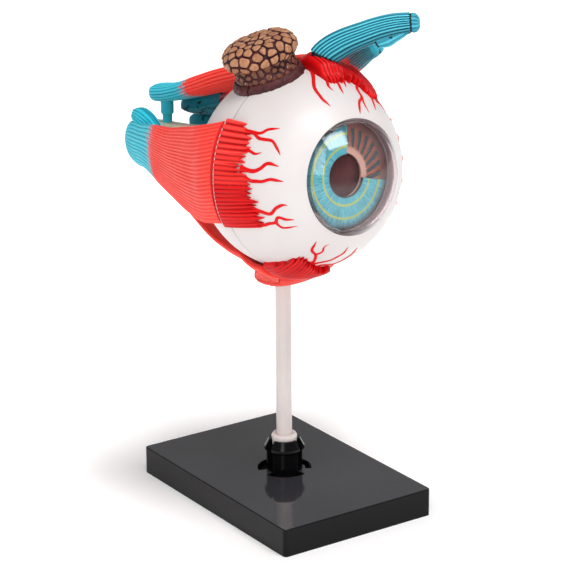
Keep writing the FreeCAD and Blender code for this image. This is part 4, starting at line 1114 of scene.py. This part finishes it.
# Each vein is its places as (x, f, u) on or near the globe, its width at the root and the width that it
# narrows towards. Its last 2.6 mm close to a point.
LATERAL_VEINS = [
    ([(-26.4, 8.4, 16.8), (-25.3, 10.9, 16.6), (-24.2, 13.4, 16.4), (-22.7, 15, 17.2),
      (-20, 18, 17.6)], 0.75, 0.3),
    ([(-26.3, 8.5, 16.6), (-25.3, 10.9, 16.6), (-25, 13.7, 14.9), (-24.3, 15.1, 14.6), (-22.9, 17.6, 14),
      (-22.7, 18.9, 12.6), (-22.6, 20.6, 10)], 0.85, 0.25),
    ([(-28, 9.5, 11.6), (-27.6, 11.9, 11.3), (-26.8, 14.3, 10.6), (-25.8, 15.7, 10.9)], 0.7, 0.3),
    ([(-29.6, 9.8, 6), (-29.2, 12.1, 5.7), (-28.4, 14, 5.4), (-27.2, 16, 6.2), (-25.7, 17.8, 7.7),
      (-23.5, 20.8, 6.8)], 0.95, 0.3),
    ([(-30.2, 9.5, 4.2), (-29.9, 11.3, 3.7), (-29.1, 13.3, 2.7), (-27.7, 16.2, 2.4), (-25.5, 19.3, 3),
      (-23.2, 22.1, 2.2)], 0.85, 0.3),
    ([(-29, 12.2, -6.2), (-27.7, 14.7, -7), (-25.7, 17.8, -7.7), (-24.7, 19.8, -5.7), (-23.5, 21.4, -4.9),
      (-22.5, 22.4, -5.1)], 0.95, 0.3),
    ([(-28, 10.9, -11.6), (-27.1, 12.9, -11.5), (-25.6, 15.9, -11.2), (-24.4, 18.1, -10.5),
      (-24.3, 18.9, -9.3), (-22.5, 20.9, -9.6), (-20.6, 22.6, -9.8)], 0.9, 0.28),
    ([(-24.4, 18.1, -10.5), (-23.8, 18.4, -11.4), (-22.9, 18.9, -12.3), (-21.4, 20.5, -12.5),
      (-19.4, 22.5, -12.2)], 0.5, 0.25)]
SUPERIOR_VEINS = [
    ([(2.5, 5.9, 31.5), (-1.2, 11.5, 30), (-4.8, 17.2, 26.7), (-5, 20.1, 24.6), (-4, 22.9, 22.2)], 1, 0.3),
    ([(2.4, 12.6, 29.4), (1.6, 14.6, 28.6), (0.2, 17.2, 27.2), (0.5, 19.2, 25.8)], 0.75, 0.3),
    ([(5.2, 13.2, 28.8), (4.9, 15.8, 27.6), (3.9, 18.4, 26.1), (3.2, 20.5, 24.6)], 0.75, 0.3),
    ([(9, 11.5, 28.6), (8.6, 13.7, 27.8), (6.3, 17.8, 26)], 0.7, 0.3),
    ([(14, 8.7, 27.4), (15.3, 10.7, 26.2), (10.8, 18, 24.4), (10, 20.6, 22.6), (7.8, 22.3, 21.8),
      (6, 24.3, 20.1), (5.1, 25.7, 18.6)], 0.9, 0.28),
    ([(10, 20.6, 22.6), (9.2, 23.3, 20.2), (9.3, 24.9, 18.1)], 0.5, 0.25),
    ([(15.4, 11.4, 25.6), (16.2, 13.2, 24.4), (16.7, 16.4, 22.1), (14.7, 20.5, 20),
      (13.4, 22.9, 18.2)], 0.8, 0.3),
    ([(18.8, 13, 22.2), (19.6, 16, 19.8), (20.7, 18.7, 16)], 0.75, 0.3)]
INFERIOR_VEINS = [
    ([(-10.6, 12.6, -27.6), (-9.7, 15.3, -26.6), (-11.1, 19.3, -23.2), (-13.1, 20.3, -21.2),
      (-13.3, 21.8, -19.5), (-13.3, 23.2, -17.9)], 0.85, 0.28),
    ([(-11.1, 19.3, -23.2), (-9.8, 21.2, -22.1), (-10, 22.8, -20.4), (-8.9, 23.9, -19.6)], 0.5, 0.26),
    ([(-9, 12.6, -28), (-8.7, 15.2, -27), (-4.6, 17.6, -26.5), (-2.6, 19.6, -25.4), (-1.6, 20.8, -24.5),
      (-1.2, 23.4, -22)], 0.8, 0.28),
    ([(-7, 12, -28.8), (-5.3, 14.2, -28.3), (-0.1, 14.1, -28.9), (3.5, 18.2, -26.2),
      (3.6, 21.8, -23.4)], 0.85, 0.3)]
MEDIAL_VEINS = [
    ([(28, 10.5, 11.4), (26, 14.2, 12), (23.6, 17.2, 13.2), (21.6, 19, 13.6)], 0.85, 0.3),
    ([(29.2, 11, 6.4), (27.8, 14.6, 6.2), (25.6, 18, 7.2), (23, 21.2, 6.4)], 0.85, 0.3),
    ([(30, 10.5, 1.2), (28.6, 14.2, 0.4), (26.2, 18.2, 1.2), (23.4, 21.8, 0.2)], 0.8, 0.28),
    ([(29.2, 11.5, -6), (27.4, 15.2, -6.8), (24.6, 19.6, -5.8), (22.4, 22, -6.6)], 0.85, 0.28),
    ([(27.2, 11.2, -12.4), (25.2, 14.8, -13.2), (22.6, 18.4, -12.8), (19.6, 21.8, -13)], 0.85, 0.28),
    ([(25.2, 14.8, -13.2), (23, 16.4, -15.4), (20.6, 18.2, -16.6)], 0.5, 0.26)]


def vein(shape, places, wide, narrow, seed):
    """A flattened branch that tapers along the globe through the given places."""
    places = np.array([eye(*p) for p in places])
    steps = path_steps(places)
    total = steps[-1]
    s = np.linspace(0, total, max(16, int(total * 6)))
    line = unit(through(steps, places, s)) * GLOBE
    up = unit(line)
    side = unit(np.cross(up, unit(np.gradient(line, axis=0))))
    sway = noise(s / 2.1, seed * 3.1, 0.0, 91) * 0.16 * smooth_step(0.0, 2.0, s)
    line = unit(line + side * sway[:, None]) * GLOBE
    width = wide * (0.74 + 0.7 * np.exp(-s / 1.3)) + (narrow - wide) * 0.36 * s / total
    width = width * (1 + 0.07 * noise(s / 1.4, seed * 1.7, 4.0, 93))
    width = width * np.maximum(np.clip((total - s) / 2.6, 0.0, 1.0) ** 0.6, 0.04)
    angle = np.linspace(0, TURN, 14, endpoint=False)
    flat, tall = np.cos(angle) * width[:, None], (np.sin(angle) * 0.62 - 0.12) * width[:, None]
    points = line[:, None] + side[:, None] * flat[..., None] + up[:, None] * tall[..., None]
    # The lower part of each vein, where it meets the globe, is painted darker as shade.
    shape.grid(points, groove=(np.sin(angle) < 0.15) * 0.5, tint=0.0)


def vein_piece(name, veins, seed):
    shape = Shape()
    for number, (places, wide, narrow) in enumerate(veins):
        vein(shape, places, wide, narrow, seed + number)
    shape.finish(name, "front_globe", None, "tendon_red")


def pads():
    pad("lateral", "left", LATERAL_EDGE, -12.4, 19.4, 24, 5, 0.44, gather=0.14, graded=0.6)
    pad("medial", "right", MEDIAL_EDGE, -16.2, 13.8, 22, 15, 0.42, gather=0.12, graded=0.6)
    pad("superior", "top", SUPERIOR_EDGE, 0.4, 21.8, 20, 25, 0.34, SUPERIOR_CAP, ragged=0.9, low_taper=1.3)
    pad("inferior", "bottom", INFERIOR_EDGE, -18.0, 0.6, 17, 35, 0.32, INFERIOR_CAP, ragged=0.9)
    vein_piece("lateral_veins", LATERAL_VEINS, 3)
    vein_piece("medial_veins", MEDIAL_VEINS, 23)
    vein_piece("superior_veins", SUPERIOR_VEINS, 43)
    vein_piece("inferior_veins", INFERIOR_VEINS, 63)


# ------------------------------------------------------------------ gland
GLAND_RADIUS = 11.8
GLAND_NECK = 9.9
GLAND_HEIGHT = 12.3
GLAND_SIDE_LEAN = math.radians(16.1)
GLAND_BACK_LEAN = math.radians(2.3)
GLAND_OUTLINE = [
    (0.05, GLAND_HEIGHT), (GLAND_RADIUS * 0.55, GLAND_HEIGHT * 0.97),
    (GLAND_RADIUS * 0.80, GLAND_HEIGHT * 0.915), (GLAND_RADIUS * 0.95, GLAND_HEIGHT * 0.80),
    (GLAND_RADIUS, GLAND_HEIGHT * 0.68),
    (GLAND_RADIUS, GLAND_HEIGHT * 0.54), (GLAND_RADIUS * 0.93, GLAND_HEIGHT * 0.44),
    (GLAND_NECK, GLAND_HEIGHT * 0.34), (GLAND_NECK, -4.5)]
BRIM_GAP = 2.55
NECK_GAP = 1.75
MOST_TRIES = 26000
CELL_CORNER = 0.26
BATCH = 40000


def gland_place(points):
    """From the gland's own upright frame, on the globe's centre, to the eye's frame."""
    x, y, z = np.moveaxis(points, -1, 0)
    y, z = turned(y, z, -GLAND_BACK_LEAN)
    x, z = turned(x, z, GLAND_SIDE_LEAN)
    return xyz(x, y, z)


def around(radius, angle, height):
    return xyz(np.cos(angle) * radius, np.sin(angle) * radius, height)


def scattered(points, normals, gaps, generator):
    """Picks grid points at random so that no two are closer than the gap there."""
    area = np.linalg.norm(points[..., :2], axis=-1)
    order = generator.permutation(area.size)
    keep = generator.random(area.size) < (area / area.max()).ravel()[order]
    flat, gaps = points.reshape(-1, 3), np.broadcast_to(gaps, area.shape).ravel()
    chosen = []
    for index in order[keep][:MOST_TRIES]:
        if not chosen or np.min(np.sum((flat[chosen] - flat[index]) ** 2, axis=1)) >= gaps[index] ** 2:
            chosen.append(index)
    return flat[chosen], normals.reshape(-1, 3)[chosen]


def pebbles(flat, seeds):
    """For each point: its cell, and its rounded distance from the cell's edge."""
    owner, edge = np.zeros(len(flat), np.int64), np.zeros(len(flat))
    for start in range(0, len(flat), BATCH):
        block = slice(start, start + BATCH)
        distance = np.linalg.norm(flat[block, None] - seeds[None], axis=-1)
        order = np.argpartition(distance, 5, axis=1)[:, :6]
        near = np.take_along_axis(distance, order, axis=1)
        rank = np.argsort(near, axis=1)
        order, near = np.take_along_axis(order, rank, axis=1), np.take_along_axis(near, rank, axis=1)
        parting = np.linalg.norm(seeds[order[:, 1:]] - seeds[order[:, :1]], axis=-1)
        walls = (near[:, 1:] ** 2 - near[:, :1] ** 2) / (2 * parting)
        owner[block] = order[:, 0]
        edge[block] = -CELL_CORNER * np.log(np.sum(np.exp(-walls / CELL_CORNER), axis=1))
    return owner, edge


def gland():
    """The pebbled cap on its neck: rounded cells between grooves on a turned outline."""
    rows, cols = 330, 700
    radius, height = resampled(rounded(GLAND_OUTLINE, 1.2, 5), np.linspace(0, 1, rows))
    angle = np.linspace(0, TURN, cols, endpoint=False)
    points = around(radius[:, None], angle, (GLOBE + height)[:, None])
    slope = unit(np.gradient(np.stack((radius, height), axis=-1), axis=0))
    normals = around(-slope[:, 1:], angle, slope[:, :1])
    neck = smooth_step(GLAND_HEIGHT * 0.46, GLAND_HEIGHT * 0.36, height)[:, None]
    gaps = blend(BRIM_GAP, NECK_GAP, neck)
    seeds, seed_normals = scattered(points, normals, gaps, np.random.default_rng(12))
    flat = points.reshape(-1, 3)
    warp = np.stack([noise_at(flat, 1 / 1.9, seed) for seed in (5, 6, 7)], axis=-1)
    owner, edge = pebbles(flat + warp * 0.3, seeds)
    dome = (1 - (1 - np.clip((edge - 0.1) / 0.75, 0, 1)) ** 2.6) ** 0.5
    calm = np.repeat(smooth_step(0.9, 2.2, height), cols)
    lift = dome * (0.8 + 0.3 * chance(owner, 3)) * (0.8 - 0.25 * np.repeat(neck, cols)) - 0.5
    lift = np.where(calm > 0.01, lift, np.minimum(lift, -0.05))
    pit = noise_at(flat, 1.5, 17) * 0.07 * dome + noise_at(flat, 3.7, 18) * 0.03
    offset = np.sum((flat - seeds[owner]) * seed_normals[owner], axis=1)
    flatten = np.clip(-offset * 0.6 * smooth_step(0.1, 0.7, edge), -0.4, 0.4)
    flat = flat + normals.reshape(-1, 3) * blend(-0.05, lift + pit, calm)[:, None]
    flat = flat + seed_normals[owner] * (flatten * calm)[:, None]
    groove = (1 - smooth_step(0.02, 0.42, edge)) * (0.4 + 0.6 * calm)
    placed = pushed_out(gland_place(flat.reshape(rows, cols, 3)), CLEAR)
    behind = -placed[..., 1] < SEAM + LIE
    from_axis = np.linalg.norm(placed[..., (0, 2)], axis=-1)
    push = np.where(behind & (from_axis < CLEAR), CLEAR / np.maximum(from_axis, 1e-6), 1.0)
    shape = Shape()
    shape.grid(placed * xyz(push, 1, push), groove=groove.reshape(rows, cols),
               cell=chance(owner, 9).reshape(rows, cols), low=neck * 0.9)
    shape.finish("lacrimal_gland_cells", "gland_body", "lacrimal_gland", "gland_brown")


SEAT_INSIDE = GLAND_NECK + 0.2
SEAT_OUTSIDE = 11.4
SEAT_TOP = 0.55
SEAT_ROOT = -4.6
SEAM_GAP = 0.12


def seat_half(name, body, node, in_front):
    """Half of the lumpy rim round the gland's foot, up to the shell's seam."""
    wide = SEAT_OUTSIDE - SEAT_INSIDE
    outline = rounded([
        (SEAT_INSIDE, SEAT_ROOT), (SEAT_INSIDE, SEAT_TOP - wide * 0.1), (SEAT_INSIDE + wide * 0.2, SEAT_TOP),
        (SEAT_OUTSIDE - wide * 0.4, SEAT_TOP - wide * 0.3), (SEAT_OUTSIDE, SEAT_TOP - wide),
        (SEAT_OUTSIDE, SEAT_ROOT)], 0.3, 4)
    radius, height = (column[:, None] for column in resampled(outline, np.linspace(0, 1, 90)))
    limit = SEAM + SEAM_GAP / 2 if in_front else SEAM - SEAM_GAP
    turn = np.linspace(-TURN / 4, TURN * 3 / 4, 1441)
    ahead = -gland_place(around(radius, turn, GLOBE + height))[..., 1] > limit
    low = turn[np.argmin(ahead, axis=1)]
    high = turn[-1 - np.argmin(ahead[:, ::-1], axis=1)]
    if in_front:
        low, high = high - TURN, low
    angle = blend(low[:, None], high[:, None], np.linspace(0, 1, 420))
    points = around(radius, angle, GLOBE + height)
    outer = smooth_step(SEAT_INSIDE + 0.1, SEAT_INSIDE + 0.7, radius)
    lumps = noise_at(points, 1 / 1.5, 31) * 0.28 + noise_at(points, 1 / 0.6, 32) * 0.12
    swell = np.minimum(lumps * outer, 0.25)
    points = points + around(swell, angle, swell * 0.5 * smooth_step(-1.0, 0.3, height))
    if not in_front:
        x = points[..., 0]
        tight = (points[..., 1] < 0) & (np.abs(x) < SEAT_INSIDE)
        points[..., 0] = np.where(tight, np.sign(x) * SEAT_INSIDE, x)
    placed = gland_place(points)
    placed[..., 1] = (np.minimum if in_front else np.maximum)(placed[..., 1], -limit)
    placed = pushed_out(placed, GLOBE - 0.2)
    # The split at the seam and the hollows between the lumps are painted near black as shade.
    split = smooth_step(0.35, 0.0, np.abs(placed[..., 1] + limit))
    groove = np.maximum(split, smooth_step(0.1, -0.25, lumps) * 0.5 * outer)
    shape = Shape()
    shape.grid(np.swapaxes(placed, 0, 1), groove=groove.T)
    shape.finish(name, body, node, "gland_foot")


# ------------------------------------------------------------------ inside of the front
CORNEA_RIM = 18.0
IRIS_FRONT = math.sqrt(GLOBE ** 2 - CORNEA_RIM ** 2) - 3.3
IRIS_THICK = 1.0
IRIS_ROLL = 5.5
IRIS_OPENING = 99.0
PLEATS = 56
PLEAT_LEAN = math.radians(9.5)


def spun(section, start, end, count, relief):
    """A section of (radius, f) spun about the optical axis from one position angle to another."""
    radius, f = np.array(section, float).T
    turn = np.radians(np.linspace(start, end, count))[:, None]
    f = f + relief(radius, f, turn)
    return xyz(radius * np.sin(turn), -f, radius * np.cos(turn)), radius, turn


def iris():
    """The ring without its cut quarter, with fibres and two raised rings on its face."""
    front, back = IRIS_FRONT, IRIS_FRONT - IRIS_THICK
    face = [(r, front) for r in np.linspace(IRIS_OUTER - 0.25, IRIS_INNER + 0.25, 90)]
    section = [(IRIS_OUTER, back + 0.1), (IRIS_OUTER, front - 0.25), (IRIS_OUTER - 0.08, front - 0.08), *face,
               (IRIS_INNER + 0.08, front - 0.08), (IRIS_INNER, front - 0.25), (IRIS_INNER, back + 0.1),
               (IRIS_INNER + 0.1, back), (IRIS_OUTER - 0.1, back)]

    def relief(radius, f, turn):
        fibre = noise(np.cos(turn) * 34, np.sin(turn) * 34, radius * 0.3, 41)
        rings = sum(np.exp(-((radius - centre) / 0.32) ** 4) for centre in RING_RADII)
        return (f > front - 0.01) * (fibre * 0.06 - 0.06 + rings * 0.07)

    points, radius, turn = spun(section, IRIS_OPENING + IRIS_ROLL, 360.0 + IRIS_ROLL, 720, relief)
    shape = Shape()
    shape.grid(points, radius=radius, turn=turn)
    shape.finish("iris_fibres", "iris_disc", "iris", "iris_blue")


def ciliary():
    """The ring behind the iris, pleated on its face."""
    front = IRIS_FRONT - IRIS_THICK - LIE
    shell = SHELL_INSIDE - LIE
    depth, inner, hollow = 5.0, 6.9, 18.4
    rim = [(math.sqrt(shell ** 2 - f ** 2), f) for f in np.linspace(front - depth, front - 0.1, 8)]
    face = [(r, front) for r in np.linspace(math.sqrt(shell ** 2 - front ** 2) - 0.2, inner, 70)]
    section = rim + face + [(inner, front - 1.0), (hollow, front - 1.0), (hollow, front - depth)]

    def pleat(radius, turn):
        return np.sin((turn + PLEAT_LEAN * np.clip((radius - 8.7) / 5.3, 0, 1)) * PLEATS / 2.0)

    def relief(radius, f, turn):
        on_face = (f > front - 0.01) * smooth_step(14.9, 14.2, radius) * smooth_step(8.4, 9.0, radius)
        return on_face * (np.abs(pleat(radius, turn)) ** 0.8 * 0.3 - 0.3)

    count = 1568
    points, radius, turn = spun(section, 0.0, 360.0 * (1 - 1 / count), count, relief)
    shape = Shape()
    shape.grid(points, ring=True, radius=radius, turn=turn, stripe=pleat(radius, turn) * 0.5 + 0.5)
    shape.finish("ciliary_pleats", "ciliary_ring", "ciliary_body", "ciliary_stripes")


# ------------------------------------------------------------------ nerve
NERVE_END = 7.8
NERVE_ROOT = 9.2
NERVE_LENGTH = 50.0
NERVE_BACK = math.sqrt(GLOBE ** 2 - NERVE_ROOT ** 2)


def nerve():
    """The fluted sheath, with a rim and a dotted face at its cut end."""
    end = NERVE_BACK + NERVE_LENGTH
    outline = rounded([
        (0.02, end - 0.5), (2.2, end - 0.45), (5.2, end - 0.4), (5.6, end - 0.9), (6.0, end - 0.9),
        (6.3, end - 0.1), (NERVE_END - 0.9, end), (NERVE_END - 0.1, end - 0.8), (NERVE_END, end - 3.0),
        (NERVE_END, end - 0.4 * NERVE_LENGTH), ((NERVE_END + NERVE_ROOT) / 2, end - 0.75 * NERVE_LENGTH),
        (NERVE_ROOT, NERVE_BACK + 1.5), (NERVE_ROOT, NERVE_BACK + 0.05)], 0.35, 4)
    shares = np.concatenate((np.linspace(0, 0.17, 90), np.linspace(0.17, 1, 170)[1:]))
    radius, depth = (column[:, None] for column in resampled(outline, shares))
    turn = np.linspace(0, TURN, 300, endpoint=False)
    side = smooth_step(NERVE_END - 0.4, NERVE_END - 0.05, radius) * smooth_step(end - 0.6, end - 2.2, depth)
    wave = np.abs(np.sin(turn * 15 / 2 + noise(np.cos(turn) * 2, np.sin(turn) * 2, depth / 16.0, 51) * 1.1))
    face = smooth_step(5.4, 5.0, radius) * (depth > end - 1.0)
    spots = noise(radius * np.cos(turn) * 1.5, radius * np.sin(turn) * 1.5, 0.0, 61)
    rim = (np.abs(radius - 5.8) < 0.35) * (depth > end - 1.2)
    groove = np.clip((1 - wave) ** 2.4 * side + face * smooth_step(0.1, -0.5, spots) * 0.7 + rim * 0.9, 0, 1)
    radius = radius + (wave ** 0.8 - 0.6) * 0.28 * side
    points = xyz(radius * np.sin(turn), depth + spots * 0.22 * face, radius * np.cos(turn))
    shape = Shape()
    shape.grid(pushed_out(points, GLOBE + 0.02), groove=groove, tint=0.0)
    shape.finish("optic_nerve_sheath", "rear_globe", "optic_nerve", "nerve_cream")


# ------------------------------------------------------------------ camera, light, floor
def facing(place, right, up, back):
    return Matrix.Translation(place) @ Matrix((right, up, back)).transposed().to_4x4()


def camera():
    """The photograph's viewing angle, as it was fitted to the plate, the globe and the cornea's rim."""
    azimuth, elevation, roll = (math.radians(v) for v in (-124.215, 18.661, -0.397))
    distance, sideways, height = 768.934 * MM, 1.555 * MM, 71.198 * MM
    back = Vector((math.cos(azimuth) * math.cos(elevation), math.sin(azimuth) * math.cos(elevation),
                   math.sin(elevation)))
    right = Vector((-math.sin(azimuth), math.cos(azimuth), 0))
    up = back.cross(right)
    data = bpy.data.cameras.new("camera")
    data.sensor_width = 36.0
    data.lens = 150.0
    data.clip_start = 0.01
    data.clip_end = 20.0
    obj = bpy.data.objects.new("camera", data)
    obj.matrix_world = facing(right * sideways + Vector((0, 0, height)) + back * distance,
                              math.cos(roll) * right + math.sin(roll) * up,
                              math.cos(roll) * up - math.sin(roll) * right, back)
    bpy.context.scene.collection.objects.link(obj)
    bpy.context.scene.camera = obj


def softbox(name, direction, distance, size, power):
    data = bpy.data.lights.new(name, "AREA")
    data.shape = "RECTANGLE"
    data.size, data.size_y = size
    data.energy = power
    back = Vector(direction).normalized()
    right = Vector((0, 0, 1)).cross(back).normalized()
    obj = bpy.data.objects.new(name, data)
    obj.matrix_world = facing(Vector((0, 0, 0.11)) + back * distance, right, back.cross(right), back)
    bpy.context.scene.collection.objects.link(obj)


def studio():
    """Three soft boxes in a world that is paler towards the horizon."""
    world = bpy.data.worlds.new("studio")
    world.use_nodes = True
    nodes, links = world.node_tree.nodes, world.node_tree.links
    background = nodes["Background"]
    background.inputs["Color"].default_value = (1.0, 1.0, 1.0, 1.0)
    spot = nodes.new("ShaderNodeSeparateXYZ")
    links.new(nodes.new("ShaderNodeTexCoord").outputs["Generated"], spot.inputs[0])
    rise = nodes.new("ShaderNodeMapRange")
    rise.interpolation_type = "SMOOTHSTEP"
    for label, number in (("From Min", 0.0), ("From Max", 0.75), ("To Min", 0.48), ("To Max", 0.26)):
        rise.inputs[label].default_value = number
    links.new(spot.outputs["Z"], rise.inputs["Value"])
    links.new(rise.outputs[0], background.inputs["Strength"])
    bpy.context.scene.world = world
    softbox("top_box", (0.0, -0.42, 0.9), 2.6, (1.55, 1.05), 51.0)
    softbox("left_box", (-0.6, -0.58, 0.55), 2.4, (0.72, 1.9), 14.8)
    softbox("right_box", (0.92, -0.32, 0.36), 2.4, (1.6, 1.2), 2.0)


PLATE_HALF_WIDTH = 0.0284
PLATE_HALF_LENGTH = 0.0419
FLOOR_HALF = 4.0
GLOW_REACH = 0.045


def floor():
    """A pale floor that glows a little, less at the plate than away from it, so that its painted glow fills
    in the shadow further out and leaves a contact shadow round the plate; it dims far out on the camera's
    side.
    """
    points = np.array([(x * FLOOR_HALF, y * FLOOR_HALF, 0) for x, y in ((-1, -1), (1, -1), (1, 1), (-1, 1))])
    obj = mesh_object("studio_floor", points, np.array(((0, 1, 2, 3),)), np.zeros((0, 3), int), {})
    paint = Paint("floor_white")
    x, y, _ = paint.node("SeparateXYZ", {0: paint.place}).outputs
    beyond = [paint.math("MAXIMUM", paint.less(paint.math("ABSOLUTE", axis), half), 0.0)
              for axis, half in ((x, PLATE_HALF_WIDTH), (y, PLATE_HALF_LENGTH))]
    away = paint.math("SQRT", paint.plus(*(paint.times(one, one) for one in beyond)))
    near_side = paint.plus(paint.times(x, -0.56), paint.times(y, -0.83))
    dim = paint.step(near_side, 0.42, 1.0, 1.0, 0.5)
    pale = paint.mix(paint.cloud(6.0), (0.93, 0.93, 0.93, 1.0), (0.95, 0.95, 0.95, 1.0))
    paint.set(Base_Color=paint.mix(dim, (0.0, 0.0, 0.0, 1.0), pale), Roughness=0.6, Specular_IOR_Level=0.2,
              Emission_Color=(1.0, 1.0, 1.0, 1.0),
              # The glow is painted light: weak at the plate's edge, stronger away from it.
              Emission_Strength=paint.times(paint.step(away, 0.0, GLOW_REACH, 0.06, 0.5), dim))
    obj.data.materials.append(paint.material)


# ------------------------------------------------------------------ build
KEPT_NODES = {
    "nerve_vessels": "vessel_red", "base_plate": "stand_black", "claw_socket": "claw_black",
    "rod_collar": "rod_white", "support_rod": "rod_white", "rear_sclera": "white_shell",
    "front_sclera": "white_shell", "cornea": "clear_cornea", "crystalline_lens": "clear_lens",
    "vitreous_body": "clear_vitreous", "retina_cup": "retina_orange", "choroid_cup": "choroid_brown"}

lateral_rectus()
medial_rectus()
superior_rectus()
inferior_rectus()
superior_oblique_belly()
superior_oblique_tendon()
trochlea()
inferior_oblique()
pads()
gland()
seat_half("gland_foot_front", "front_globe", "gland_seat_front", True)
seat_half("gland_foot_rear", "rear_globe", "gland_seat_rear", False)
iris()
ciliary()
nerve()
for node_name, look_name in KEPT_NODES.items():
    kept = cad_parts[node_name].data.materials
    kept.clear()
    kept.append(looks[look_name])
camera()
studio()
floor()
bpy.context.scene.view_settings.view_transform = "Standard"
